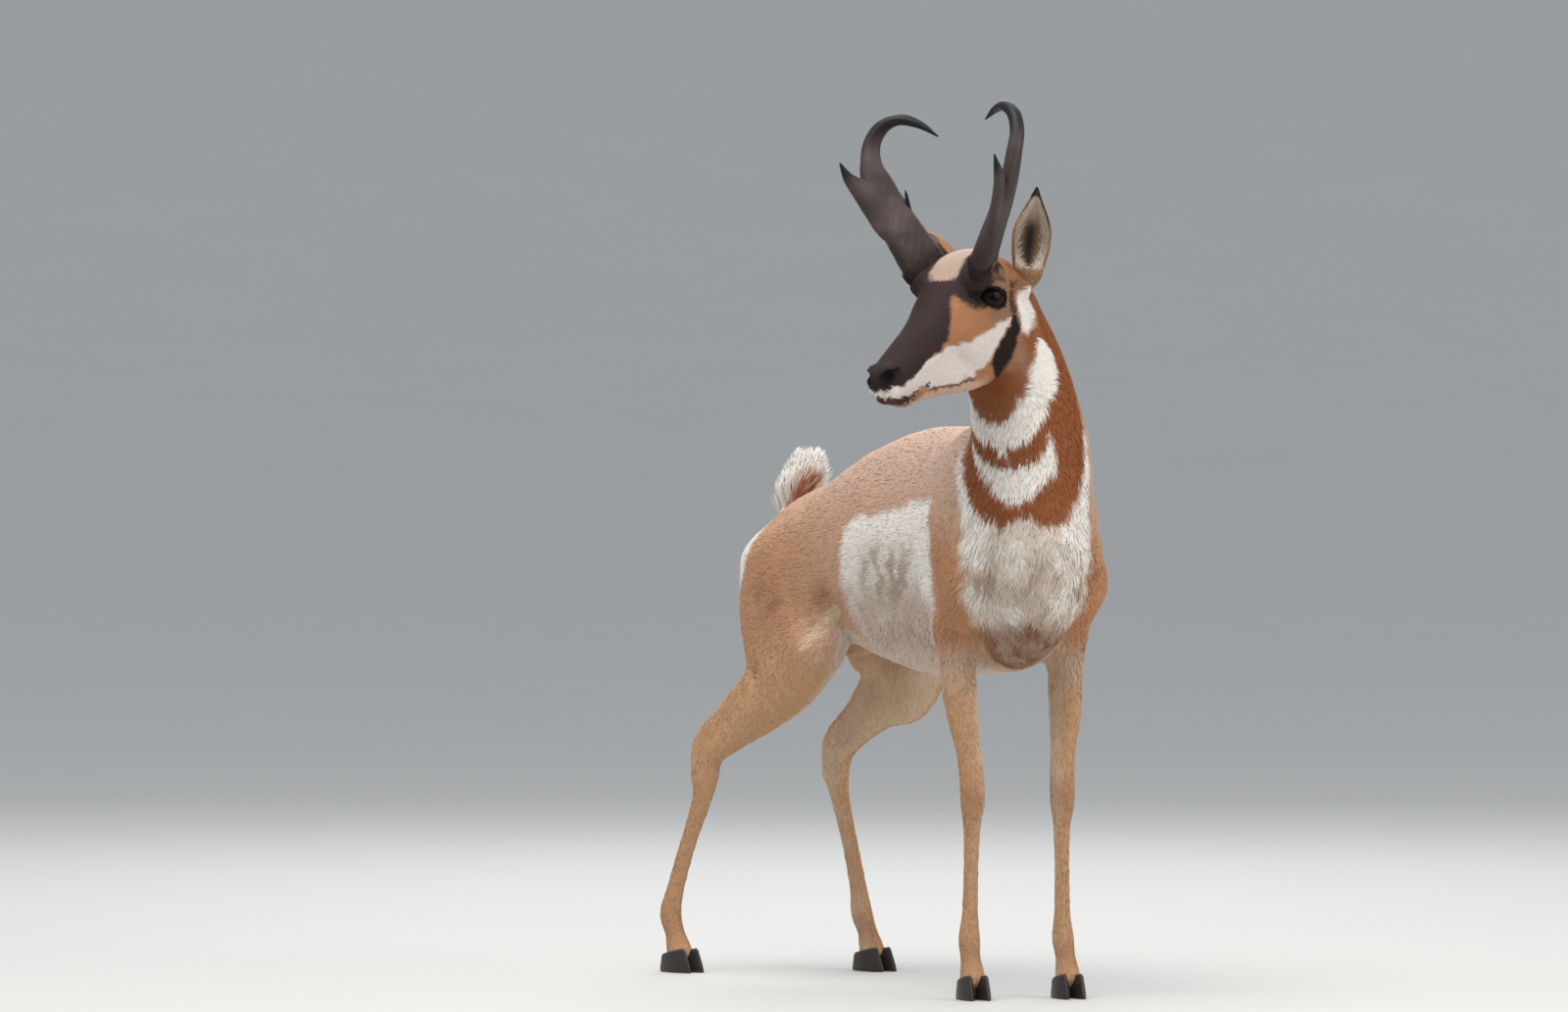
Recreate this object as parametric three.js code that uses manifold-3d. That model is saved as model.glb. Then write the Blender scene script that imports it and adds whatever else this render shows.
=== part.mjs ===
// A life-size pronghorn buck that stands with its hindquarters lowered, its trunk bent a little to its
// right and its head turned to that side. Millimetres: +X points forward, +Y to the animal's left and +Z up,
// and the floor is at Z 0. The flesh is one rounded body of bones and muscles, meshed piece by piece and
// parted by thin cuts. Horns, ears, eyes, hooves and the tail's hair are lofted from rings.
import * as THREE from "three";
import { mergeVertices } from "three/addons/utils/BufferGeometryUtils.js";
import Module from "manifold-3d";

const wasm = await Module();
wasm.setup();

// Driving dimensions, in millimetres and degrees
const GAP = 0.3; // between two pieces that touch
const CHEST = { x: 300, y: -59, heading: -11 }; // above the front feet
const PELVIS = { x: -318, y: -69, heading: 12 }; // above the hip joints
const SKULL = { x: 419, y: -215, z: 1047, heading: -62.5, pitch: 14, roll: -2.5 }; // between the eyes
const TO_MIDDLE = { x: -27, y: 144 }; // brings the middle of the whole outline to the origin
const CARPUS_HEIGHT = 305;
const HOCK_HEIGHT = 325;
const FETLOCK_HEIGHT = 88;
const CORONET_HEIGHT = 38;
const EYE_RADIUS = 24;
const EYEBALL = { forward: -8, out: 49, up: 0 }; // the middle of an eyeball in the skull's frame
const LID_OPENING = { length: 44, height: 29 };
const HORN_TOE_OUT = 27; // degrees that a horn's blade turns outward
const SIDES = { left: 1, right: -1 };

const radians = THREE.MathUtils.degToRad;
const lerp = THREE.MathUtils.lerp;
const clamp = THREE.MathUtils.clamp;
const V = (x, y, z) => new THREE.Vector3(x, y, z);

// A frame has its X forward, Y left and Z up, turned by a heading, a nose-down pitch and a roll to the left
function frameAt({ x = 0, y = 0, z = 0, heading = 0, pitch = 0, roll = 0 }) {
  const frame = new THREE.Matrix4().makeTranslation(x, y, z);
  frame.multiply(new THREE.Matrix4().makeRotationZ(radians(heading)));
  frame.multiply(new THREE.Matrix4().makeRotationY(radians(pitch)));
  return frame.multiply(new THREE.Matrix4().makeRotationX(radians(-roll)));
}

const chest = frameAt(CHEST);
const pelvis = frameAt(PELVIS);
const skull = frameAt(SKULL);
const ground = frameAt({});
const place = (frame, forward, left, up) => V(forward, left, up).applyMatrix4(frame);
const turned = (frame, forward, left, up) => V(forward, left, up).transformDirection(frame);
const leftOf = (frame) => turned(frame, 0, 1, 0);
const within = (outer, inner) => outer.clone().multiply(inner);

// Flesh: rounded forms, each with its distance function, joined over creases as wide as their blend
const flesh = [];
const FAR = 1e3;

function roundedMin(a, b, blend) {
  const h = Math.max(blend - Math.abs(a - b), 0) / blend;
  return Math.min(a, b) - (h * h * blend) / 4;
}

// How far a point lies from an oval, measured along the line from the oval's middle
function ovalDistance(offset, along, side, normal, reach, width, height) {
  const k = Math.hypot(offset.dot(along) / reach, offset.dot(side) / width, offset.dot(normal) / height);
  return k < 1e-6 ? -Math.min(width, height) : offset.length() * (1 - 1 / k);
}

// A bone tapers from one station to the next, with an oval section of half a width and half a height
function bone(from, to) {
  const run = to.at.clone().sub(from.at);
  const length = run.length();
  const along = run.clone().divideScalar(length);
  const side = from.side.clone().add(to.side);
  side.addScaledVector(along, -side.dot(along)).normalize();
  const normal = along.clone().cross(side);
  const offset = V(0, 0, 0);
  return (point) => {
    offset.copy(point).sub(from.at);
    const t = clamp(offset.dot(along) / length, 0, 1);
    offset.addScaledVector(along, -t * length);
    const width = lerp(from.width, to.width, t);
    const height = lerp(from.height, to.height, t);
    return ovalDistance(offset, along, side, normal, Math.min(width, height), width, height);
  };
}

// A limb is a smooth run of bones through a few stations
function limb(stations, sideFrom, sideTo, blend) {
  const STEPS = 3;
  const route = new THREE.CatmullRomCurve3(stations.map((s) => s.at), false, "centripetal");
  const sizes = new THREE.CatmullRomCurve3(stations.map((s) => V(s.width, s.height, 0)));
  const count = (stations.length - 1) * STEPS;
  const marks = Array.from({ length: count + 1 }, (_, i) => {
    const size = sizes.getPoint(i / count);
    const side = sideFrom.clone().lerp(sideTo, i / count).normalize();
    return { at: route.getPoint(i / count), width: size.x, height: size.y, side };
  });
  const bones = marks.slice(1).map((mark, i) => bone(marks[i], mark));
  const distance = (point) => bones.reduce((sum, near) => roundedMin(sum, near(point), 3), FAR);
  const box = new THREE.Box3().setFromPoints(stations.map((s) => s.at));
  box.expandByScalar(Math.max(...stations.map((s) => Math.max(s.width, s.height))));
  flesh.push({ distance, blend, box });
}

const station = (frame, forward, left, up, width, height) => ({
  at: place(frame, forward, left, up),
  width,
  height,
});

// A muscle is an oval at a place of its frame, with half its length, width and height, tilted nose up. A pair
// of muscles is given for the left side, and hand -1 makes the right one.
function muscle(frame, { at: [forward, out, up], size: [length, width, height], blend, tilt = 0 }, hand = 1) {
  const along = turned(frame, Math.cos(radians(tilt)), 0, Math.sin(radians(tilt)));
  const side = leftOf(frame);
  const normal = along.clone().cross(side);
  const at = place(frame, forward, hand * out, up);
  const offset = V(0, 0, 0);
  const distance = (point) =>
    ovalDistance(offset.copy(point).sub(at), along, side, normal, length, width, height);
  const box = new THREE.Box3(at.clone(), at.clone()).expandByScalar(Math.max(length, width, height));
  flesh.push({ distance, blend, box });
}

function fleshDistance(point, forms) {
  let sum = FAR;
  for (const form of forms) {
    if (form.box.distanceToPoint(point) > form.blend + 1) continue;
    sum = roundedMin(sum, form.distance(point), form.blend);
  }
  return sum;
}

const SHEATH = { at: [86, 0, 512], size: [46, 13, 16], blend: 30, tilt: 8 };
const WITHERS = { at: [-46, 0, 842], size: [95, 34, 30], blend: 40, tilt: 4 };

// The trunk, from the buttocks to the breast, with the sheath below the belly
function makeTrunk() {
  limb(
    [
      station(pelvis, -106, 0, 628, 50, 52),
      station(pelvis, -60, 0, 634, 78, 86),
      station(pelvis, 0, 0, 643, 98, 108),
      station(pelvis, 90, 0, 650, 119, 127),
      station(ground, -110, -36, 658, 136, 169),
      station(ground, 0, -24, 663, 144, 190),
      station(ground, 110, -26, 667, 140, 188),
      station(chest, -95, 0, 671, 128, 187),
      station(chest, 0, 0, 676, 108, 184),
      station(chest, 66, 0, 660, 94, 158),
      station(chest, 106, 0, 646, 72, 116),
    ],
    leftOf(pelvis),
    leftOf(chest),
    20,
  );
  muscle(pelvis, SHEATH);
  muscle(chest, WITHERS);
}

// The neck rises from the chest and turns into the skull's heading
function makeNeck() {
  const bend = (x, y, z, width, height) => ({ at: V(x, y, z), width, height });
  limb(
    [
      station(chest, 16, 0, 716, 92, 138),
      bend(351, -60, 800, 92, 114),
      bend(366, -78, 880, 82, 92),
      bend(374, -100, 950, 73, 80),
      bend(379, -122, 1012, 60, 66),
    ],
    leftOf(chest),
    leftOf(skull),
    45,
  );
}

// Forms on both sides of the face, and forms on its middle
const FACE_PAIRS = {
  cheek: { at: [18, 42, -56], size: [58, 19, 40], blend: 18, tilt: 14 },
  orbit: { at: [EYEBALL.forward + 1, EYEBALL.out - 1, EYEBALL.up], size: [30, 28, 28], blend: 12 },
  brow: { at: [-2, 47, 23], size: [33, 27, 15], blend: 20, tilt: 6 },
  hornBoss: { at: [-6, 47, 36], size: [40, 26, 22], blend: 16 },
  nostrilWing: { at: [217, 14, -61], size: [19, 14, 18], blend: 8, tilt: 20 },
  upperLip: { at: [188, 17, -79], size: [38, 13, 12], blend: 8, tilt: -4 },
  lipFront: { at: [223, 7, -85], size: [13, 12, 14], blend: 8, tilt: 20 },
  lowerLip: { at: [198, 8, -99], size: [27, 13, 9], blend: 8, tilt: 4 },
  earRoot: { at: [-86, 56, 4], size: [22, 20, 22], blend: 16 },
};
const FOREHEAD = { at: [-22, 0, 46], size: [46, 42, 22], blend: 20, tilt: -4 };
const CHIN = { at: [180, 0, -104], size: [22, 15, 11], blend: 8 };

// The head: skull and muzzle, both sides of the jaw, and the forms of the face
function makeHead() {
  const side = leftOf(skull);
  const s = (forward, left, up, width, height) => station(skull, forward, left, up, width, height);
  limb(
    [
      s(214, 0, -70, 25, 25),
      s(188, 0, -66, 30, 33),
      s(150, 0, -59, 33, 41),
      s(112, 0, -51, 37, 47),
      s(74, 0, -39, 44, 52),
      s(36, 0, -22, 53, 57),
      s(0, 0, -8, 59, 58),
      s(-40, 0, 0, 60, 56),
      s(-76, 0, -2, 54, 52),
      s(-100, 0, -10, 44, 42),
    ],
    side,
    side,
    30,
  );
  for (const hand of Object.values(SIDES)) {
    limb(
      [
        s(178, hand * 9, -104, 12, 12),
        s(130, hand * 14, -98, 14, 19),
        s(90, hand * 20, -96, 15, 26),
        s(50, hand * 28, -95, 16, 32),
        s(8, hand * 38, -90, 17, 34),
        s(-30, hand * 44, -68, 17, 34),
        s(-52, hand * 46, -38, 16, 26),
      ],
      side,
      side,
      22,
    );
    for (const form of Object.values(FACE_PAIRS)) muscle(skull, form, hand);
  }
  muscle(skull, FOREHEAD);
  muscle(skull, CHIN);
}

// Shoulder and foreleg down to the coronet
const FOREFOOT = { forward: 24, out: 74 };

function makeForeleg(hand) {
  const side = leftOf(chest);
  const s = (forward, left, up, width, height) => station(chest, forward, hand * left, up, width, height);
  limb([s(-76, 50, 810, 32, 60), s(-22, 80, 726, 38, 74), s(54, 86, 628, 36, 56)], side, side, 30);
  limb([s(54, 86, 616, 33, 48), s(-30, 84, 548, 28, 42)], side, side, 30);
  limb([s(-84, 84, 700, 34, 60), s(-46, 83, 572, 28, 44)], side, side, 30);
  limb(
    [
      s(-32, 85, 552, 28, 46),
      s(-24, 84, 492, 26, 38),
      s(-10, 80, 425, 24, 29),
      s(1, 73, 365, 18.5, 21),
      s(8, 70, CARPUS_HEIGHT + 14, 19, 20),
      s(9, 70, CARPUS_HEIGHT - 14, 18, 19),
      s(6, 70, CARPUS_HEIGHT - 48, 13, 15),
      s(4, 71, 190, 11.5, 13),
      s(2, 72, 125, 12.5, 14),
      s(2, 73, FETLOCK_HEIGHT, 16.5, 17.5),
      s(12, 74, CORONET_HEIGHT + 24, 15, 15),
      s(FOREFOOT.forward, FOREFOOT.out, CORONET_HEIGHT - 6, 20, 22),
    ],
    side,
    side,
    26,
  );
  const middles = [
    [0, FOREFOOT.forward],
    [FETLOCK_HEIGHT, 2],
    [CARPUS_HEIGHT, 8],
    [425, -10],
    [552, -32],
  ];
  return { frame: chest, forward: FOREFOOT.forward, left: hand * FOREFOOT.out, middles };
}

// Haunch and hind leg down to the coronet. The right foot is set back and the left one forward.
const HIND = {
  left: { stifle: 472, hockForward: -130, hock: 120, foot: 122, step: 62 },
  right: { stifle: 496, hockForward: -142, hock: 128, foot: 134, step: -84 },
};

function makeHindleg(hand, { stifle, hockForward, hock, foot, step }) {
  const side = leftOf(pelvis);
  const s = (forward, left, up, width, height) => station(pelvis, forward, hand * left, up, width, height);
  const out = (t) => lerp(114, hock, t);
  limb([s(24, 64, 658, 44, 78), s(82, 86, 590, 40, 74), s(112, 102, stifle + 22, 34, 50)], side, side, 30);
  limb([s(-74, 56, 640, 42, 56), s(-46, 82, 572, 37, 58), s(-18, 102, 492, 28, 46)], side, side, 30);
  limb([s(-20, 72, 644, 40, 66), s(18, 90, 572, 38, 66), s(42, 106, 486, 30, 46)], side, side, 30);
  limb(
    [
      s(108, 106, stifle + 12, 36, 48),
      s(62, 112, stifle - 32, 33, 50),
      s(0, out(0.3), 421, 25, 42),
      s(-72, out(0.7), 374, 17, 26),
      s(hockForward + 14, hock, HOCK_HEIGHT + 16, 17, 22),
      s(hockForward, hock, HOCK_HEIGHT - 14, 17, 25),
      s(hockForward + step * 0.1, hock, HOCK_HEIGHT - 50, 14, 18),
      s(hockForward + step * 0.5, (hock + foot) / 2, 200, 12, 14),
      s(hockForward + step * 0.85, foot, 125, 13, 15),
      s(hockForward + step * 0.98, foot, FETLOCK_HEIGHT, 16.5, 17.5),
      s(hockForward + step + 12, foot, CORONET_HEIGHT + 24, 15, 15),
      s(hockForward + step + 24, foot, CORONET_HEIGHT - 6, 20, 22),
    ],
    side,
    side,
    26,
  );
  limb(
    [
      s(-30, out(0.4), 456, 15, 24),
      s(hockForward + 46, out(0.8), 402, 12, 19),
      s(hockForward - 15, hock, HOCK_HEIGHT + 26, 11, 17),
      s(hockForward - 9, hock, HOCK_HEIGHT - 18, 12, 17),
    ],
    side,
    side,
    16,
  );
  const middles = [
    [0, hockForward + step + 24],
    [FETLOCK_HEIGHT, hockForward + step],
    [HOCK_HEIGHT, hockForward],
    [421, 0],
    [stifle, 50],
    [600, 30],
  ];
  return { frame: pelvis, forward: hockForward + step + 24, left: hand * foot, middles };
}

// Between the heights that a leg's middle is known at, it runs straight
function between(middles, height) {
  const i = clamp(middles.findIndex(([up]) => up > height), 1, middles.length - 1);
  const [low, high] = [middles[i - 1], middles[height >= middles.at(-1)[0] ? middles.length - 1 : i]];
  if (high === low) return high[1];
  return lerp(low[1], high[1], clamp((height - low[0]) / (high[0] - low[0]), 0, 1));
}

makeTrunk();
makeNeck();
makeHead();
const feet = {
  fore_left: makeForeleg(SIDES.left),
  fore_right: makeForeleg(SIDES.right),
  hind_left: makeHindleg(SIDES.left, HIND.left),
  hind_right: makeHindleg(SIDES.right, HIND.right),
};

// Closed solids: from corners and faces, from a geometry, from rings of points, and from the flesh
function solidOfFaces(corners, faces) {
  const build = (order) => {
    const mesh = { numProp: 3, vertProperties: corners, triVerts: new Uint32Array(order) };
    return new wasm.Manifold(new wasm.Mesh(mesh));
  };
  const solid = build(faces);
  return solid.volume() > 0 ? solid : build(faces.reverse());
}

const cornersOf = (points) => new Float32Array(points.flatMap((p) => p.toArray()));

function solidOf(geometry) {
  geometry.deleteAttribute("normal");
  geometry.deleteAttribute("uv");
  const { attributes, index } = mergeVertices(geometry, 1e-4);
  return solidOfFaces(attributes.position.array, Array.from(index.array));
}

// A loft joins rings of equally many points and closes both ends with a fan
function loft(rings) {
  const size = rings[0].length;
  const middle = (ring) => ring.reduce((sum, p) => sum.add(p), V(0, 0, 0)).divideScalar(size);
  const points = [...rings.flat(), middle(rings[0]), middle(rings.at(-1))];
  const first = rings.length * size;
  const faces = [];
  for (let i = 0; i < size; i += 1) {
    const j = (i + 1) % size;
    faces.push(first, j, i, first + 1, first - size + i, first - size + j);
    for (let r = 0; r < rings.length - 1; r += 1) {
      const a = r * size;
      const b = a + size;
      faces.push(a + i, a + j, b + j, a + i, b + j, b + i);
    }
  }
  return solidOfFaces(cornersOf(points), faces);
}

// A block is a box of its frame: a distance that is negative inside it, and its solid
function block(frame, low, high) {
  const size = V(...high).sub(V(...low));
  const centre = V(...high).add(V(...low)).multiplyScalar(0.5);
  const inverse = frame.clone().invert();
  const local = V(0, 0, 0);
  const distance = (point) => {
    local.copy(point).applyMatrix4(inverse).sub(centre);
    return Math.max(...["x", "y", "z"].map((axis) => Math.abs(local[axis]) - size[axis] / 2));
  };
  const grown = (by) => {
    const geometry = new THREE.BoxGeometry(size.x + 2 * by, size.y + 2 * by, size.z + 2 * by);
    return solidOf(geometry.translate(centre.x, centre.y, centre.z).applyMatrix4(frame));
  };
  return { distance, inside: () => grown(-GAP / 2), outside: () => grown(GAP / 2) };
}

// The nearest place on a surface, reached by a few steps down the field
function settle(field, point, limit) {
  const NUDGE = 0.4;
  const start = point.clone();
  for (let round = 0; round < 4; round += 1) {
    const value = field(point);
    const slope = V(0, 0, 0);
    for (const axis of ["x", "y", "z"]) {
      const probe = point.clone();
      probe[axis] += NUDGE;
      slope[axis] = (field(probe) - value) / NUDGE;
    }
    point.addScaledVector(slope, -value / Math.max(slope.lengthSq(), 0.2));
  }
  const moved = point.clone().sub(start);
  return start.add(moved.clampLength(0, limit));
}

// Grid lines along one axis, closer together over a fine stretch
function gridLines(low, high, step, fine = { from: low, to: low, step }) {
  const lines = [low];
  while (lines.at(-1) < high) {
    const here = lines.at(-1);
    lines.push(here + (here >= fine.from && here < fine.to ? fine.step : step));
  }
  return lines;
}

// Meshes the space where a field is negative: one point in each cell that the surface crosses, settled on
// the surface, and one four-sided face for each edge of the grid that it crosses. The grid can lean with a
// limb: lean tells how far forward its middle lies at each height.
function meshField(field, frame, lines, lean, limit) {
  const counts = lines.map((axisLines) => axisLines.length);
  const stride = [1, counts[0], counts[0] * counts[1]];
  const cellAt = (cell) => cell[0] * stride[0] + cell[1] * stride[1] + cell[2] * stride[2];
  const line = (axis, n) => {
    const whole = Math.min(Math.floor(n), counts[axis] - 2);
    return lerp(lines[axis][whole], lines[axis][whole + 1], n - whole);
  };
  const corner = (cell) => {
    const [forward, left, up] = cell.map((n, axis) => line(axis, n));
    return place(frame, forward + lean(up), left, up);
  };
  const cells = [];
  for (let k = 0; k < counts[2]; k += 1) {
    for (let j = 0; j < counts[1]; j += 1) {
      for (let i = 0; i < counts[0]; i += 1) cells.push([i, j, k]);
    }
  }
  const onBorder = (cell) => cell.some((n, axis) => n === 0 || n === counts[axis] - 1);
  const values = cells.map((cell) => Math.max(field(corner(cell)), onBorder(cell) ? 1 : -FAR));
  const shifts = [0, 1, 2, 3, 4, 5, 6, 7].map((n) => [n & 1, (n >> 1) & 1, n >> 2]);
  const inRange = (cell) => cell.every((n, axis) => n >= 0 && n < counts[axis] - 1);
  const points = [];
  const pointOf = new Map();
  for (const cell of cells.filter(inRange)) {
    const around = shifts.map((shift) => cell.map((n, axis) => n + shift[axis]));
    const signs = around.map((c) => values[cellAt(c)]);
    if (signs.every((v) => v < 0) || signs.every((v) => v >= 0)) continue;
    const sum = V(0, 0, 0);
    let crossings = 0;
    for (let a = 0; a < 8; a += 1) {
      for (const bit of [1, 2, 4]) {
        const b = a | bit;
        if (b === a || signs[a] < 0 === signs[b] < 0) continue;
        const t = signs[a] / (signs[a] - signs[b]);
        sum.add(corner(around[a].map((n, axis) => lerp(n, around[b][axis], t))));
        crossings += 1;
      }
    }
    pointOf.set(cellAt(cell), points.length);
    points.push(settle(field, sum.divideScalar(crossings), limit));
  }
  const faces = [];
  for (const cell of cells) {
    for (const axis of [0, 1, 2]) {
      const next = [...cell];
      next[axis] += 1;
      if (next[axis] >= counts[axis]) continue;
      const inside = values[cellAt(cell)] < 0;
      if (inside === values[cellAt(next)] < 0) continue;
      const u = stride[(axis + 1) % 3];
      const v = stride[(axis + 2) % 3];
      const at = cellAt(cell);
      const [a, b, c, d] = [at, at - u, at - u - v, at - v].map((n) => pointOf.get(n));
      const flat = points[a].distanceTo(points[c]) < points[b].distanceTo(points[d]);
      const pair = flat ? [a, b, c, a, c, d] : [a, b, d, b, c, d];
      faces.push(...(inside ? pair : pair.reverse()));
    }
  }
  return solidOfFaces(cornersOf(points), faces);
}

// The flesh inside some blocks and outside others, meshed a little past each cut and then cut clean
function fleshPiece({ frame, low, high, step, fine = [], lean = () => 0, inside = [], outside = [] }) {
  const margin = Math.max(...step);
  const lines = low.map((value, axis) => gridLines(value, high[axis], step[axis], fine[axis]));
  const region = new THREE.Box3();
  for (const x of [low[0], high[0]]) {
    for (const y of [low[1], high[1]]) {
      for (const z of [low[2], high[2]]) region.expandByPoint(place(frame, x + lean(z), y, z));
    }
  }
  const touches = ({ box, blend }) => box.clone().expandByScalar(blend + margin).intersectsBox(region);
  const forms = flesh.filter(touches);
  const field = (point) =>
    Math.max(
      fleshDistance(point, forms),
      ...inside.map((cut) => cut.distance(point) - margin),
      ...outside.map((cut) => -cut.distance(point) - margin),
    );
  let solid = meshField(field, frame, lines, lean, 0.6 * margin);
  for (const cut of inside) solid = solid.intersect(cut.inside());
  for (const cut of outside) solid = solid.subtract(cut.outside());
  return solid;
}

const SLIVER = 0.05; // edges shorter than this are closed up after the cuts
const largest = (solid) => solid.simplify(SLIVER).decompose().sort((a, b) => b.volume() - a.volume())[0];

const model = new THREE.Group();
model.position.set(TO_MIDDLE.x, TO_MIDDLE.y, 0);

function addMesh(name, solid, material) {
  const { vertProperties, triVerts, numProp } = largest(solid).getMesh();
  const geometry = new THREE.BufferGeometry();
  const positions = Array.from({ length: vertProperties.length / numProp }, (_, i) =>
    [0, 1, 2].map((axis) => vertProperties[i * numProp + axis]),
  );
  geometry.setAttribute("position", new THREE.Float32BufferAttribute(positions.flat(), 3));
  geometry.setIndex(Array.from(triVerts));
  geometry.computeVertexNormals();
  const mesh = new THREE.Mesh(geometry, material);
  mesh.name = name;
  model.add(mesh);
}

// Finishes
const finish = (color, roughness) => new THREE.MeshStandardMaterial({ color, roughness, metalness: 0 });
const TAN_COAT = finish(0xb88f72, 0.9);
const RUST_COAT = finish(0x8a5238, 0.9);
const WHITE_COAT = finish(0xe8e2da, 0.9);
const HORN = finish(0x3c302c, 0.5);
const HOOF = finish(0x2b2524, 0.45);
const EYE = finish(0x120d0c, 0.05);

// Where the body is parted
const SPREAD = 3000;
const behindHead = block(
  within(skull, frameAt({ x: -92, pitch: -30 })),
  [-SPREAD, -SPREAD, -SPREAD],
  [0, SPREAD, SPREAD],
);
const behindNeck = block(
  within(chest, frameAt({ x: 72, z: 776, pitch: -53 })),
  [-SPREAD, -SPREAD, -SPREAD],
  [0, SPREAD, SPREAD],
);
const legBlocks = {
  fore_left: block(chest, [-86, 44, -50], [110, 260, 520]),
  fore_right: block(chest, [-86, -260, -50], [110, -44, 520]),
};
for (const [name, hand] of Object.entries(SIDES)) {
  const groin = within(pelvis, frameAt({ x: 8, z: 556, pitch: 19 }));
  const inner = hand * 42;
  const outer = hand * 330;
  const sides = [Math.min(inner, outer), Math.max(inner, outer)];
  legBlocks[`hind_${name}`] = block(groin, [-420, sides[0], -700], [196, sides[1], 0]);
}

// Oval rings along a route, for horns and other tapering rods
function ovalRings(marks, sides) {
  return marks.map(({ at, along, across, depth, thick }) => {
    const deep = across.clone().addScaledVector(along, -across.dot(along)).normalize();
    const thin = along.clone().cross(deep);
    return Array.from({ length: sides }, (_, i) => {
      const turn = (i / sides) * 2 * Math.PI;
      const point = at.clone().addScaledVector(deep, depth * Math.cos(turn));
      return point.addScaledVector(thin, thick * Math.sin(turn));
    });
  });
}

// A horn's beam and prong. Each mark has its place forward, outward and up, and half its depth and
// thickness.
const BEAM = [
  [0, 47, 32, 38, 20],
  [-2, 58, 62, 36, 19],
  [-5, 80, 100, 33, 17],
  [-8, 104, 140, 31, 15],
  [-14, 122, 178, 27, 13],
  [-22, 132, 212, 17, 12],
  [-36, 134, 240, 13.5, 11],
  [-52, 122, 262, 12, 10],
  [-66, 98, 271, 10, 8.5],
  [-77, 72, 262, 6.5, 6],
  [-83, 46, 244, 1.2, 1.2],
];
const PRONG = [
  [2, 90, 112, 28, 12],
  [10, 112, 150, 24, 10.5],
  [20, 127, 178, 17, 9],
  [32, 137, 200, 9, 6.5],
  [40, 142, 226, 1.2, 1.2],
];
const TIP_LIFT = { left: 10, right: -12 }; // one horn curls over more than the other
const SPUR = { forward: -30, out: 84, up: 146, length: 20, width: 5 }; // a burr on the right horn

function hornRings(list, name, sides, grow = 0) {
  const hand = SIDES[name];
  const blade = turned(skull, Math.cos(radians(HORN_TOE_OUT)), hand * Math.sin(radians(HORN_TOE_OUT)), 0);
  const lift = (i) => (list === BEAM ? TIP_LIFT[name] * (i / (BEAM.length - 1)) ** 3 : 0);
  const spots = list.map(([forward, out, up], i) => place(skull, forward, hand * out, up + lift(i)));
  const marks = list.map(([, , , depth, thick], i) => ({
    at: spots[i],
    along: spots[Math.min(i + 1, spots.length - 1)].clone().sub(spots[Math.max(i - 1, 0)]).normalize(),
    across: blade,
    depth: depth + grow,
    thick: thick + grow,
  }));
  return ovalRings(marks, sides);
}

function horn(name) {
  const solid = loft(hornRings(BEAM, name, 14)).add(loft(hornRings(PRONG, name, 10)));
  if (name === "left") return solid;
  const { forward, out, up, length, width } = SPUR;
  const cone = new THREE.ConeGeometry(width, 2 * length, 6).rotateX(Math.PI / 2);
  return solid.add(solidOf(cone.applyMatrix4(within(skull, frameAt({ x: forward, y: -out, z: up })))));
}

// The bottom of the horn with a gap all round, and a little deeper
function hornSocket(name) {
  const rings = hornRings(BEAM, name, 14, GAP).slice(0, 4);
  const down = rings[0][0].clone().sub(rings[1][0]).setLength(GAP);
  return loft([rings[0].map((p) => p.clone().add(down)), ...rings.slice(1)]);
}

// An ear: a cupped blade, solid at its root. Each mark has its height, half its width, the cup's depth, how
// far round the back of the cup reaches in degrees, and how much of the cup is filled.
const EAR_MARKS = [
  [-14, 17, 15, 100, 1],
  [6, 20, 17, 104, 1],
  [20, 24, 20, 116, 0.5],
  [40, 28, 22, 120, 0],
  [62, 28, 20, 112, 0],
  [82, 22, 15, 104, 0],
  [99, 14, 10, 98, 0],
  [112, 7.5, 6, 95, 0.3],
  [125, 1.5, 1.5, 90, 1],
];
const EAR_WALL = 3.2;
const EAR_BACK_POINTS = 9;
const EARS = {
  left: { up: [-0.22, 0.2, 1], faces: [0.8, 0.6, 0] },
  right: { up: [-0.32, -1.02, 0.72], faces: [0.95, -0.1, 0.25] },
};
const EAR_ROOT = [-92, 66, 16];

function earRings(name, grow) {
  const { up, faces } = EARS[name];
  const rise = turned(skull, ...up);
  const face = turned(skull, ...faces);
  face.addScaledVector(rise, -face.dot(rise)).normalize();
  const across = rise.clone().cross(face);
  const root = place(skull, EAR_ROOT[0], SIDES[name] * EAR_ROOT[1], EAR_ROOT[2]);
  return EAR_MARKS.map(([height, width, depth, reach, fill]) => {
    const at = root.clone().addScaledVector(rise, height);
    const spot = (turn, inset) =>
      at
        .clone()
        .addScaledVector(across, (width + grow - inset) * Math.sin(turn))
        .addScaledVector(face, -(depth + grow - inset) * Math.cos(turn));
    const end = radians(reach);
    const steps = EAR_BACK_POINTS - 1;
    const back = Array.from({ length: steps + 1 }, (_, i) => spot(lerp(-end, end, i / steps), 0));
    const wall = Math.min(EAR_WALL, width / 2, depth / 2);
    const front = Array.from({ length: steps - 1 }, (_, i) => {
      const t = (i + 1) / steps;
      const cup = spot(lerp(end, -end, t), wall);
      return cup.lerp(spot(lerp(end, 2 * Math.PI - end, t), 0), fill);
    });
    return [...back, ...front];
  });
}

const ear = (name) => loft(earRings(name, 0));
const earSocket = (name) => loft(earRings(name, GAP).slice(0, 3));

// An eyeball looks outward, forward and a little up, through an almond opening between its lids
const EYE_LOOK = { outward: 57, up: 5 };
const eyeCentre = (hand) => place(skull, EYEBALL.forward, hand * EYEBALL.out, EYEBALL.up);

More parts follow.
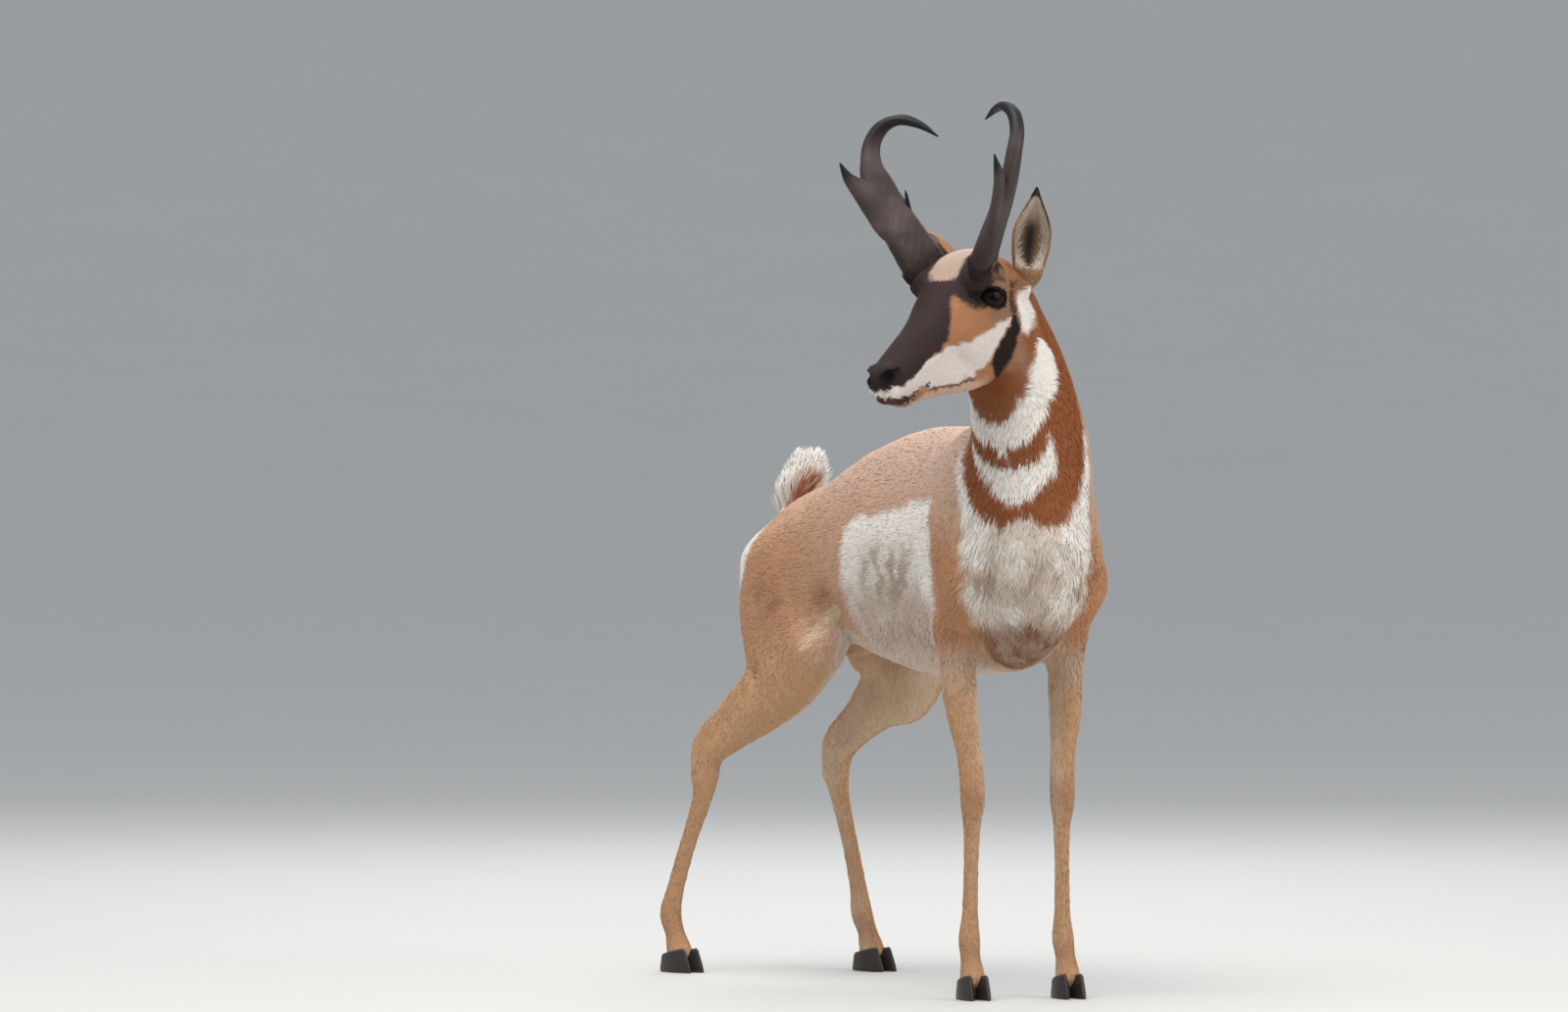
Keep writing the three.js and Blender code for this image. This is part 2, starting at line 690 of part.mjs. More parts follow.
function ball(centre, radius) {
  const geometry = new THREE.SphereGeometry(radius, 14, 8).rotateX(Math.PI / 2);
  return solidOf(geometry.applyMatrix4(skull.clone().setPosition(centre)));
}

function lidOpening(hand) {
  const CORNERS = 14;
  const { forward: x, out: y, up: z } = EYEBALL;
  const look = frameAt({ x, y: hand * y, z, heading: hand * EYE_LOOK.outward, pitch: -EYE_LOOK.up });
  const ring = (out, scale) =>
    Array.from({ length: CORNERS }, (_, i) => {
      const turn = (i / CORNERS) * 2 * Math.PI;
      const forward = (LID_OPENING.length / 2) * Math.cos(turn);
      const up = (LID_OPENING.height / 2) * Math.sin(turn) - 0.12 * forward;
      return place(within(skull, look), out, -hand * scale * forward, scale * up);
    });
  return loft([ring(0, 0.9), ring(EYE_RADIUS, 1), ring(2 * EYE_RADIUS, 1.25)]);
}

// Where a line from the head's inside, forward or to one side, leaves the flesh
function skinAt(forward, up, { ahead = 0, aside = 0 }) {
  const along = (way) => place(skull, forward + ahead * way, aside * way, up);
  let near = 0;
  let far = 90;
  for (let round = 0; round < 20; round += 1) {
    const half = (near + far) / 2;
    if (fleshDistance(along(half), flesh) < 0) near = half;
    else far = half;
  }
  return along(near);
}

// The line of the mouth is a thin groove from one corner, round the front of the lips, to the other
const MOUTH = { corner: [145, -89], front: [223, -96], groove: 2.2, points: 7, rings: 27 };

function mouthGroove() {
  const steps = Array.from({ length: MOUTH.points }, (_, i) => {
    const share = Math.sin((i / MOUTH.points) * (Math.PI / 2));
    return MOUTH.corner.map((start, axis) => lerp(start, MOUTH.front[axis], share));
  });
  const left = steps.map(([forward, up]) => skinAt(forward, up, { aside: 1 }));
  const right = steps.map(([forward, up]) => skinAt(forward, up, { aside: -1 }));
  const middle = skinAt(MOUTH.corner[0], MOUTH.front[1], { ahead: 1 });
  const path = [...left, middle, ...right.reverse()];
  const route = new THREE.CatmullRomCurve3(path, false, "centripetal");
  const last = MOUTH.rings - 1;
  const marks = Array.from({ length: MOUTH.rings }, (_, i) => ({
    at: route.getPoint(i / last),
    along: route.getTangent(i / last),
    across: turned(skull, 0, 0, 1),
    depth: MOUTH.groove * (i === 0 || i === last ? 0.4 : 1),
    thick: MOUTH.groove * 1.5,
  }));
  return loft(ovalRings(marks, 6));
}

// A nostril is a slanting comma-shaped pit, made of a round front and a narrower tail
const NOSTRIL = [
  { at: [229, 19, -61], size: [11, 9, 8], tilt: 30 },
  { at: [217, 26, -56], size: [13, 7, 5], tilt: 25 },
];

function nostril(hand) {
  const pits = NOSTRIL.map(({ at: [x, out, z], size, tilt }) => {
    const geometry = new THREE.SphereGeometry(1, 10, 8).scale(...size).rotateY(radians(tilt));
    return solidOf(geometry.applyMatrix4(within(skull, frameAt({ x, y: hand * out, z }))));
  });
  return pits[0].add(pits[1]);
}

// A cloven foot has two pointed hooves, flat below and slanting down to the heel above
const HOOF_RINGS = [
  { up: 0, grow: -1.5 },
  { up: 3, grow: 0 },
  { up: 0.5, grow: -1.5 },
  { up: 1, grow: -3.5 },
];
const HOOF_SIZE = { heel: -30, toe: 46, width: 11.5, heelHeight: 24, toeHeight: 40 };
const HOOF_POINTS = 10;

function hoofTop(forward) {
  const { heel, toe, heelHeight, toeHeight } = HOOF_SIZE;
  return lerp(heelHeight, toeHeight, (forward - heel) / (toe - heel));
}

function hoof(foot, out) {
  const { heel, toe, width } = HOOF_SIZE;
  const middle = (heel + toe) / 2;
  const frame = within(foot.frame, frameAt({ x: foot.forward, y: foot.left }));
  const rings = HOOF_RINGS.map(({ up, grow }, level) =>
    Array.from({ length: HOOF_POINTS }, (_, i) => {
      const turn = (i / HOOF_POINTS) * 2 * Math.PI;
      const t = Math.cos(turn);
      const slope = level > 1 ? 13 * up * (t + 1) * 0.5 : 0;
      const forward = middle + ((toe - heel) / 2 + grow) * t - slope;
      const taper = t > 0 ? 1 - 0.45 * t * t : 1;
      const left = (width + grow * 0.6) * Math.sin(turn) * taper;
      const height = level > 1 ? up * (hoofTop(forward) - GAP) : up;
      return place(frame, forward, out * (width + 1.2) + left * (1 - 0.08 * up * (level > 1)), height);
    }),
  );
  return loft(rings);
}

// Everything of a foot that lies above the slanting top of its hooves
function aboveHooves(foot) {
  const { heel, toe, heelHeight, toeHeight } = HOOF_SIZE;
  const slant = THREE.MathUtils.radToDeg(Math.atan2(toeHeight - heelHeight, toe - heel));
  const top = frameAt({ x: foot.forward, y: foot.left, z: hoofTop(0), pitch: -slant });
  return block(within(foot.frame, top), [-SPREAD, -SPREAD, 0], [SPREAD, SPREAD, SPREAD]);
}

// The tail stands up from the rump as a flat tuft of hair. Each mark has its place forward, left and up, and
// half the tuft's depth and width there. Locks grow in tiers from a core of half that size, bend upward and
// end at the outside of the tuft.
const TAIL = [
  [-108, 3, 660, 17, 24],
  [-106, 6, 694, 20, 40],
  [-98, 14, 736, 22, 46],
  [-86, 27, 780, 19, 45],
  [-80, 26, 818, 8, 26],
];
const TAIL_SIDES = 12;
const TAIL_CORE = { share: 0.5, top: 3.3 };
const RUMP_SLOPE = { x: -96, z: 712, pitch: -32 }; // the locks stay above this plane
const LOCK_TIERS = [
  { root: 1.3, count: 7, lift: 0.6 },
  { root: 1.8, count: 7, lift: 0.3 },
  { root: 2.3, count: 6, lift: 0.1 },
  { root: 2.9, count: 4, lift: 0 },
];
const LOCK = { rise: 1.25, rings: 4, sides: 4, width: 13, thick: 3.6 };

// Small repeatable draws between 0 and 1
let seed = 11;
function draw() {
  seed = (seed * 16807) % 2147483647;
  return seed / 2147483647;
}

// A place in the tuft: how many marks up, which way round from its left side, and how far out
function tailPoint(level, turn, share) {
  const k = clamp(Math.floor(level), 0, TAIL.length - 2);
  const [forward, left, up, depth, width] = TAIL[k].map((value, n) => lerp(value, TAIL[k + 1][n], level - k));
  const back = share * depth * Math.sin(turn);
  return place(pelvis, forward - back, left + share * width * Math.cos(turn), up);
}

// One ring of the core, shrinking to a blunt end at its top
function coreRing(level, grow) {
  const share = TAIL_CORE.share * (level > TAIL_CORE.top - 0.1 ? 0.4 : 1);
  return Array.from({ length: TAIL_SIDES }, (_, i) => {
    const turn = (i / TAIL_SIDES) * 2 * Math.PI;
    const point = tailPoint(level, turn, share);
    return point.add(point.clone().sub(tailPoint(level, turn, 0)).setLength(grow));
  });
}

// A lock curves from its root in the core to its tip, flat against the tuft, and tapers
function lock(level, turn) {
  const root = tailPoint(level, turn, 0.2);
  const knee = tailPoint(level + 0.4 * LOCK.rise, turn, 0.85);
  const tip = tailPoint(level + LOCK.rise * lerp(0.85, 1.15, draw()), turn + lerp(-0.2, 0.2, draw()), 1);
  const curve = new THREE.QuadraticBezierCurve3(root, knee, tip);
  const across = tailPoint(level, turn + 0.1, 1).sub(tailPoint(level, turn - 0.1, 1)).normalize();
  const width = LOCK.width * lerp(0.8, 1.2, draw());
  const marks = Array.from({ length: LOCK.rings }, (_, i) => {
    const t = i / (LOCK.rings - 1);
    const size = Math.sqrt(1 - 0.99 * t * t);
    const taper = { depth: width * size, thick: LOCK.thick * size };
    return { at: curve.getPoint(t), along: curve.getTangent(t), across, ...taper };
  });
  return loft(ovalRings(marks, LOCK.sides));
}

function makeTail() {
  const rump = block(within(pelvis, frameAt(RUMP_SLOPE)), [-SPREAD, -SPREAD, -SPREAD], [SPREAD, SPREAD, 0]);
  const grown = [];
  LOCK_TIERS.forEach(({ root, count, lift }, tier) => {
    for (let i = 0; i < count; i += 1) {
      const turn = ((i + 0.5 * (tier % 2)) / count) * 2 * Math.PI;
      const inFront = Math.max(-Math.sin(turn), 0);
      grown.push(lock(root + lift * inFront, turn));
    }
  });
  const locks = grown.reduce((sum, piece) => sum.add(piece)).subtract(rump.outside());
  return locks.add(loft([0, 1, 2, TAIL_CORE.top - 0.2, TAIL_CORE.top].map((level) => coreRing(level, 0))));
}

const tailSocket = () => loft([0, 1, 2].map((level) => coreRing(level, GAP)));

// Head
let head = fleshPiece({
  frame: skull,
  low: [-150, -95, -190],
  high: [246, 95, 84],
  step: [13, 12.5, 12.5],
  outside: [behindHead],
});
for (const [name, hand] of Object.entries(SIDES)) {
  const openings = [ball(eyeCentre(hand), EYE_RADIUS + GAP), lidOpening(hand), nostril(hand)];
  for (const cut of [...openings, hornSocket(name), earSocket(name)]) head = head.subtract(cut);
}
addMesh("head", head.subtract(mouthGroove()), TAN_COAT);

// Neck and torso
let neck = fleshPiece({
  frame: ground,
  low: [150, -330, 560],
  high: [520, 160, 1130],
  step: [27, 27, 27],
  inside: [behindHead],
  outside: [behindNeck],
});
for (const name of Object.keys(SIDES)) neck = neck.subtract(earSocket(name));
addMesh("neck", neck, RUST_COAT);
const torso = fleshPiece({
  frame: ground,
  low: [-560, -330, 380],
  high: [480, 230, 960],
  step: [39, 36, 38],
  inside: [behindNeck],
  outside: Object.values(legBlocks),
});
addMesh("torso", torso.subtract(tailSocket()), TAN_COAT);

// Legs and their hooves. The grid is finer where the thin lower leg runs.
const LEG_GRID = {
  fore: { node: "foreleg", reach: 90, out: [30, 230], top: 560, step: [19, 17, 25], shin: [52, 94] },
  hind: { node: "hindleg", reach: 190, out: [30, 230], top: 680, step: [27, 22, 24], shin: [98, 156] },
};
const SHIN_GRID = { reach: 30, step: 10 };

for (const [name, foot] of Object.entries(feet)) {
  const [end, side] = name.split("_");
  const { node, reach, out, top, step, shin } = LEG_GRID[end];
  const hand = SIDES[side];
  const ordered = (pair) => pair.map((distance) => hand * distance).sort((a, b) => a - b);
  const [low, high] = ordered(out);
  const [shinLow, shinHigh] = ordered(shin);
  const leg = fleshPiece({
    frame: foot.frame,
    low: [-reach, low, 0],
    high: [reach, high, top],
    step,
    fine: [
      { from: -SHIN_GRID.reach, to: SHIN_GRID.reach, step: SHIN_GRID.step },
      { from: shinLow, to: shinHigh, step: SHIN_GRID.step },
    ],
    lean: (height) => between(foot.middles, height),
    inside: [legBlocks[name], aboveHooves(foot)],
  });
  addMesh(`${node}_${side}`, leg, TAN_COAT);
  addMesh(`hoof_${name}_outer`, hoof(foot, hand), HOOF);
  addMesh(`hoof_${name}_inner`, hoof(foot, -hand), HOOF);
}

// Eyes, horns, ears and tail
for (const [name, hand] of Object.entries(SIDES)) {
  addMesh(`eye_${name}`, ball(eyeCentre(hand), EYE_RADIUS), EYE);
  addMesh(`horn_${name}`, horn(name), HORN);
  addMesh(`ear_${name}`, ear(name), TAN_COAT);
}
addMesh("tail", makeTail(), WHITE_COAT);

export default model;
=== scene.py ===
# %% [markdown]
# # A pronghorn buck, standing with its hindquarters lowered
#
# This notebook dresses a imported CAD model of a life-size pronghorn. The model is the fixed frame: its
# feet, horns, eyes and outline say where everything goes. Here it gets one smooth skin, a coat of
# short hair in tufts, eyes with lids and lashes, ridged horns, furred ears, hooves and a tail of long
# white hair.
#
# The shapes are worked out in millimetres round the middle of the body, because an animal is easy to
# measure that way. A helper moves them to the frame's origin and turns them into metres at the end.

import math

import bpy
import numpy as np
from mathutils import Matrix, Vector


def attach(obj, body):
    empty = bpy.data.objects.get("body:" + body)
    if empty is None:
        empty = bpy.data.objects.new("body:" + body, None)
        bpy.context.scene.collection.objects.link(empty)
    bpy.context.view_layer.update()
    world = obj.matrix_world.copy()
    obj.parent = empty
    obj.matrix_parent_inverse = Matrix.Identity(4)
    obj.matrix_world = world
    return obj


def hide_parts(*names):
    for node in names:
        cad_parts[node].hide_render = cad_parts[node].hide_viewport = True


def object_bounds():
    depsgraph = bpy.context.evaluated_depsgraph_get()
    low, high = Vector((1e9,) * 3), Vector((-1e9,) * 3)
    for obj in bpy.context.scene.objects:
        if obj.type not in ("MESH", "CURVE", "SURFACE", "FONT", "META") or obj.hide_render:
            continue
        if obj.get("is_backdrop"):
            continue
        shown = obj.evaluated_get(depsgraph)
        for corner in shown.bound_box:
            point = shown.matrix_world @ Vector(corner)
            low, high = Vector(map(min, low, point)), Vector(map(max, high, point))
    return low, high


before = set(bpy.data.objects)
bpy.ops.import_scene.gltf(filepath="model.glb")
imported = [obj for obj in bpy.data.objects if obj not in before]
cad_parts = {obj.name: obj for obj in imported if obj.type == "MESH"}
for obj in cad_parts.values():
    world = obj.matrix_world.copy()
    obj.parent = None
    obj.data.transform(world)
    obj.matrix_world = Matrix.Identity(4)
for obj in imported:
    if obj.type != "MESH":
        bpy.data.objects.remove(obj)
cad_box = [list(corner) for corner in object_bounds()]
print("frame:", len(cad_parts), "nodes; box from", cad_box[0], "to", cad_box[1])

# %% [markdown]
# ## The body's own frames
#
# An animal that turns its head and bends its back has no single set of axes. The chest, the pelvis
# and the skull each get a frame: X forward, Y to the animal's left, Z up. A frame could be an empty
# object in Blender, but here it is only a matrix, because every shape is worked out with numpy
# before it becomes a mesh.

# %% Frames
TO_MIDDLE = np.array([-27.0, 144.0, 0.0])
MM = 0.001


def turn_about(axis, degrees):
    """Rotation matrix about one axis: the cosine and sine of the angle in the two other axes."""
    c, s = math.cos(math.radians(degrees)), math.sin(math.radians(degrees))
    i, j = [(1, 2), (2, 0), (0, 1)]["xyz".index(axis)]
    matrix = np.eye(3)
    matrix[i, i] = matrix[j, j] = c
    matrix[j, i], matrix[i, j] = s, -s
    return matrix


def frame_at(x=0, y=0, z=0, heading=0, pitch=0, roll=0):
    """A frame is an origin and a matrix: turned by its heading, then its pitch, then its roll."""
    turns = turn_about("z", heading) @ turn_about("y", pitch) @ turn_about("x", -roll)
    return np.array([x, y, z], float), turns


def place(body, points):
    """Places given forward, left and up in a frame, as places in the world: origin + matrix x point."""
    return np.asarray(points, float) @ body[1].T + body[0]


def local(body, points):
    """The way back: where a world point lies forward, left and up in a frame."""
    return (points - body[0]) @ body[1]


GROUND = frame_at()
CHEST = frame_at(x=300, y=-59, heading=-11)
PELVIS = frame_at(x=-318, y=-69, heading=12)
SKULL = frame_at(x=419, y=-215, z=1047, heading=-62.5, pitch=14, roll=-2.5)
HANDS = {"left": 1, "right": -1}
print("the head looks", round(math.degrees(math.atan2(SKULL[1][1, 0], SKULL[1][0, 0]))), "degrees round")

# %% [markdown]
# ## Flesh from rounded forms
#
# Skin over muscle has no corners, and it branches: legs, neck and jaw all grow out of one trunk. A
# grid of two parameters is right for a horn or a hoof, but it can't branch, and sculpting can't be
# repeated from named sizes. So the body is an implicit surface: each bone and muscle gives a
# distance to its own oval, the distances are joined with a rounded minimum, and the skin is where
# the sum is zero. The same forms and sizes made the CAD solids, so the skin fits them exactly.

# %% Distances to bones and muscles
FAR = 1000.0
BONES_PER_GAP = 3
BONE_BLEND = 3.0
LEAST_GAP, LEAST_LENGTH, TINY = 1e-4, 1e-6, 1e-9


def unit(vectors):
    """Each vector divided by its own length."""
    return vectors / np.maximum(np.linalg.norm(vectors, axis=-1, keepdims=True), TINY)


def rounded_min(a, b, blend):
    """The smaller of two distances, less h squared x blend / 4, where h fades to 0 at a gap of blend."""
    h = np.maximum(blend - np.abs(a - b), 0) / blend
    return np.minimum(a, b) - h * h * blend / 4


def catmull(points, count, centripetal=True):
    """A smooth curve through points: in each gap a cubic with the slopes that the neighbours give."""
    points = np.asarray(points, float)
    padded = np.vstack([2 * points[0] - points[1], points, 2 * points[-1] - points[-2]])
    u = np.linspace(0, len(points) - 1, count)
    gap = np.minimum(u.astype(int), len(points) - 2)
    t = (u - gap)[:, None]
    p0, p1, p2, p3 = (padded[gap + i] for i in range(4))
    power = 0.5 if centripetal else 0.0
    d0, d1, d2 = (np.linalg.norm(b - a, axis=1, keepdims=True) ** power for a, b in
                  ((p0, p1), (p1, p2), (p2, p3)))
    d1 = np.where(d1 < LEAST_GAP, 1.0, d1)
    d0, d2 = np.where(d0 < LEAST_GAP, d1, d0), np.where(d2 < LEAST_GAP, d1, d2)
    m1 = ((p1 - p0) / d0 - (p2 - p0) / (d0 + d1) + (p2 - p1) / d1) * d1
    m2 = ((p2 - p1) / d1 - (p3 - p1) / (d1 + d2) + (p3 - p2) / d2) * d1
    return p1 + m1 * t + (3 * (p2 - p1) - 2 * m1 - m2) * t**2 + (2 * (p1 - p2) + m1 + m2) * t**3


def oval_distance(x, y, z, bone):
    """
    Distance to a tapering oval bone. The point's offset from the nearest place on the bone's line is
    measured against the oval: k = root of (along/reach)^2 + (side/width)^2 + (normal/height)^2, and
    the distance is the offset's length x (1 - 1/k).
    """
    dx, dy, dz = x - bone["at"][0], y - bone["at"][1], z - bone["at"][2]
    ax, ay, az = bone["along"]
    t = np.clip((dx * ax + dy * ay + dz * az) / max(bone["length"], LEAST_LENGTH), 0, 1)
    t = t * np.float32(bone["length"] > 0)
    step = t * np.float32(bone["length"])
    dx, dy, dz = dx - ax * step, dy - ay * step, dz - az * step
    width = bone["from"][0] + (bone["to"][0] - bone["from"][0]) * t
    height = bone["from"][1] + (bone["to"][1] - bone["from"][1]) * t
    reach = bone["reach"] or np.minimum(width, height)
    along = (dx * ax + dy * ay + dz * az) / reach
    side = (dx * bone["side"][0] + dy * bone["side"][1] + dz * bone["side"][2]) / width
    normal = (dx * bone["normal"][0] + dy * bone["normal"][1] + dz * bone["normal"][2]) / height
    k = np.sqrt(along**2 + side**2 + normal**2)
    length = np.sqrt(dx**2 + dy**2 + dz**2)
    distance = length * (1 - 1 / np.maximum(k, LEAST_LENGTH))
    return np.where(k < LEAST_LENGTH, -np.minimum(width, height), distance)


def make_bone(at, to, side, size, size_to, reach=0.0):
    """One bone: its start, its direction and length, its side vector square to that, and its sizes."""
    run = to - at
    length = float(np.linalg.norm(run))
    along = run / length if length > 0 else reach[1]
    side = unit(side - along * (side @ along))
    centre, grow = (at + to) / 2, np.abs(run) / 2 + max(*size, *size_to, reach[0] if length == 0 else 0)
    values = dict(at=at, along=along, side=side, normal=np.cross(along, side))
    bone = {name: value.astype(np.float32) for name, value in values.items()}
    bone.update(length=length, to=size_to, low=centre - grow, high=centre + grow)
    bone["from"], bone["reach"] = size, (reach[0] if length == 0 else 0.0)
    return bone


flesh = []


def limb(stations, side_from, side_to, blend):
    """Bones along a smooth curve. A station is (frame, forward, left, up, half width, half height)."""
    spots = np.array([place(s[0], s[1:4]) for s in stations])
    sizes = [(s[4], s[5]) for s in stations]
    count = (len(stations) - 1) * BONES_PER_GAP + 1
    route, size = catmull(spots, count), catmull(sizes, count)
    share = np.linspace(0, 1, count)[:, None]
    sides = unit(side_from * (1 - share) + side_to * share)
    bones = [make_bone(route[i], route[i + 1], sides[i] + sides[i + 1], tuple(size[i]), tuple(size[i + 1]))
             for i in range(count - 1)]
    flesh.append(dict(bones=bones, blend=blend))


def muscle(body, at, size, blend, tilt=0, hand=1):
    """One oval, tilted nose up. It is a bone of no length with a reach of its own."""
    c, s = math.cos(math.radians(tilt)), math.sin(math.radians(tilt))
    along = body[1] @ np.array([c, 0, s])
    spot = place(body, (at[0], hand * at[1], at[2]))
    bone = make_bone(spot, spot, body[1][:, 1], size[1:], size[1:], reach=(size[0], along))
    flesh.append(dict(bones=[bone], blend=blend))


# %% [markdown]
# ## The trunk, neck and head
#
# Each limb is a list of stations from one end to the other: where it is, and half its width and
# height there. On the real animal these are the rib cage, the neck's muscles round its vertebrae, and
# the skull with its cheeks, brows, lips and nostril wings. The face gets most of the forms, because
# that is where people look first.

# %% Trunk and neck
limb([(PELVIS, -106, 0, 628, 50, 52), (PELVIS, -60, 0, 634, 78, 86), (PELVIS, 0, 0, 643, 98, 108),
      (PELVIS, 90, 0, 650, 119, 127), (GROUND, -110, -36, 658, 136, 169), (GROUND, 0, -24, 663, 144, 190),
      (GROUND, 110, -26, 667, 140, 188), (CHEST, -95, 0, 671, 128, 187), (CHEST, 0, 0, 676, 108, 184),
      (CHEST, 66, 0, 660, 94, 158), (CHEST, 106, 0, 646, 72, 116)],
     PELVIS[1][:, 1], CHEST[1][:, 1], 20)
muscle(PELVIS, (86, 0, 512), (46, 13, 16), 30, 8)
muscle(CHEST, (-46, 0, 842), (95, 34, 30), 40, 4)
skull_side = SKULL[1][:, 1]
limb([(CHEST, 16, 0, 716, 92, 138), (GROUND, 351, -60, 800, 92, 114), (GROUND, 366, -78, 880, 82, 92),
      (GROUND, 374, -100, 950, 73, 80), (GROUND, 379, -122, 1012, 60, 66)],
     CHEST[1][:, 1], skull_side, 45)
print("trunk and neck have", len(flesh), "forms")

# %% Head
EYE_FORWARD, EYE_OUT = -8, 49
limb([(SKULL, 214, 0, -70, 25, 25), (SKULL, 188, 0, -66, 30, 33), (SKULL, 150, 0, -59, 33, 41),
      (SKULL, 112, 0, -51, 37, 47), (SKULL, 74, 0, -39, 44, 52), (SKULL, 36, 0, -22, 53, 57),
      (SKULL, 0, 0, -8, 59, 58), (SKULL, -40, 0, 0, 60, 56), (SKULL, -76, 0, -2, 54, 52),
      (SKULL, -100, 0, -10, 44, 42)], skull_side, skull_side, 30)
FACE = {"cheek": ((18, 42, -56), (58, 19, 40), 18, 14),
        "orbit": ((EYE_FORWARD + 1, EYE_OUT - 1, 0), (30, 28, 28), 12, 0),
        "brow": ((-2, 47, 23), (33, 27, 15), 20, 6),
        "horn boss": ((-6, 47, 36), (40, 26, 22), 16, 0),
        "nostril wing": ((217, 14, -61), (19, 14, 18), 8, 20),
        "upper lip": ((188, 17, -79), (38, 13, 12), 8, -4),
        "lip front": ((223, 7, -85), (13, 12, 14), 8, 20),
        "lower lip": ((198, 8, -99), (27, 13, 9), 8, 4),
        "ear root": ((-86, 56, 4), (22, 20, 22), 16, 0)}
for hand in HANDS.values():
    limb([(SKULL, 178, hand * 9, -104, 12, 12), (SKULL, 130, hand * 14, -98, 14, 19),
          (SKULL, 90, hand * 20, -96, 15, 26), (SKULL, 50, hand * 28, -95, 16, 32),
          (SKULL, 8, hand * 38, -90, 17, 34), (SKULL, -30, hand * 44, -68, 17, 34),
          (SKULL, -52, hand * 46, -38, 16, 26)], skull_side, skull_side, 22)
    for at, size, blend, tilt in FACE.values():
        muscle(SKULL, at, size, blend, tilt, hand)
muscle(SKULL, (-22, 0, 46), (46, 42, 22), 20, -4)
muscle(SKULL, (180, 0, -104), (22, 15, 11), 8)

# %% [markdown]
# ## The legs
#
# A pronghorn runs on long thin cannons with all its muscle up by the body. A leg here is a few limbs
# over each other: the shoulder blade or haunch muscles, then the leg itself down to the coronet, and
# behind the hock the strong tendon that the photograph shows. The left hind foot stands forward and
# the right one back.

# %% Legs
CARPUS, HOCK, FETLOCK, CORONET = 305, 325, 88, 38
FOREFOOT = (24, 74)


def foreleg(hand):
    """Shoulder and arm muscles, then the leg down to the coronet; the left and right are mirrored."""
    side = CHEST[1][:, 1]
    s = lambda forward, left, up, width, height: (CHEST, forward, hand * left, up, width, height)
    limb([s(-76, 50, 810, 32, 60), s(-22, 80, 726, 38, 74), s(54, 86, 628, 36, 56)], side, side, 30)
    limb([s(54, 86, 616, 33, 48), s(-30, 84, 548, 28, 42)], side, side, 30)
    limb([s(-84, 84, 700, 34, 60), s(-46, 83, 572, 28, 44)], side, side, 30)
    limb([s(-32, 85, 552, 28, 46), s(-24, 84, 492, 26, 38), s(-10, 80, 425, 24, 29),
          s(1, 73, 365, 18.5, 21), s(8, 70, CARPUS + 14, 19, 20), s(9, 70, CARPUS - 14, 18, 19),
          s(6, 70, CARPUS - 48, 13, 15), s(4, 71, 190, 11.5, 13), s(2, 72, 125, 12.5, 14),
          s(2, 73, FETLOCK, 16.5, 17.5), s(12, 74, CORONET + 24, 15, 15),
          s(*FOREFOOT, CORONET - 6, 20, 22)], side, side, 26)
    return CHEST, FOREFOOT[0], hand * FOREFOOT[1]


def hindleg(hand, stifle, hock_forward, hock, foot, step):
    """Haunch muscles, the leg down to the coronet, and the tendon behind it that meets the hock."""
    side = PELVIS[1][:, 1]
    s = lambda forward, left, up, width, height: (PELVIS, forward, hand * left, up, width, height)
    out = lambda t: 114 + (hock - 114) * t
    limb([s(24, 64, 658, 44, 78), s(82, 86, 590, 40, 74), s(112, 102, stifle + 22, 34, 50)], side, side, 30)
    limb([s(-74, 56, 640, 42, 56), s(-46, 82, 572, 37, 58), s(-18, 102, 492, 28, 46)], side, side, 30)
    limb([s(-20, 72, 644, 40, 66), s(18, 90, 572, 38, 66), s(42, 106, 486, 30, 46)], side, side, 30)
    limb([s(108, 106, stifle + 12, 36, 48), s(62, 112, stifle - 32, 33, 50), s(0, out(0.3), 421, 25, 42),
          s(-72, out(0.7), 374, 17, 26), s(hock_forward + 14, hock, HOCK + 16, 17, 22),
          s(hock_forward, hock, HOCK - 14, 17, 25), s(hock_forward + step * 0.1, hock, HOCK - 50, 14, 18),
          s(hock_forward + step * 0.5, (hock + foot) / 2, 200, 12, 14),
          s(hock_forward + step * 0.85, foot, 125, 13, 15),
          s(hock_forward + step * 0.98, foot, FETLOCK, 16.5, 17.5),
          s(hock_forward + step + 12, foot, CORONET + 24, 15, 15),
          s(hock_forward + step + 24, foot, CORONET - 6, 20, 22)], side, side, 26)
    limb([s(-30, out(0.4), 456, 15, 24), s(hock_forward + 46, out(0.8), 402, 12, 19),
          s(hock_forward - 15, hock, HOCK + 26, 11, 17), s(hock_forward - 9, hock, HOCK - 18, 12, 17)],
         side, side, 16)
    return PELVIS, hock_forward + step + 24, hand * foot


feet = {"fore_left": foreleg(1), "fore_right": foreleg(-1),
        "hind_left": hindleg(1, stifle=472, hock_forward=-130, hock=120, foot=122, step=62),
        "hind_right": hindleg(-1, stifle=496, hock_forward=-142, hock=128, foot=134, step=-84)}
print(len(flesh), "forms with", sum(len(form["bones"]) for form in flesh), "bones")

# %% [markdown]
# ## Filling a grid with the distance
#
# To find the skin, the summed distance is worked out at every crossing of a grid. Even spacing would
# waste most of it, so the grid lines are close together through the head, where lids and lips need
# them, and wider elsewhere. Each bone only fills the block of the grid that it can reach.

# %% Grid
STEP, FINE_STEP = 6.4, 2.3
GRID_ENDS = [(-560, 440, 380, 570), (-450, 140, -432, -160), (10, 1150, 925, 1125)]


def grid_lines(low, high, fine_low, fine_high):
    """Line places along one axis: evenly spaced by STEP, and by FINE_STEP between the two fine ends."""
    parts = [np.arange(low, fine_low, STEP), np.arange(fine_low, fine_high, FINE_STEP),
             np.arange(fine_high, high, STEP)]
    return np.concatenate(parts).astype(np.float32)


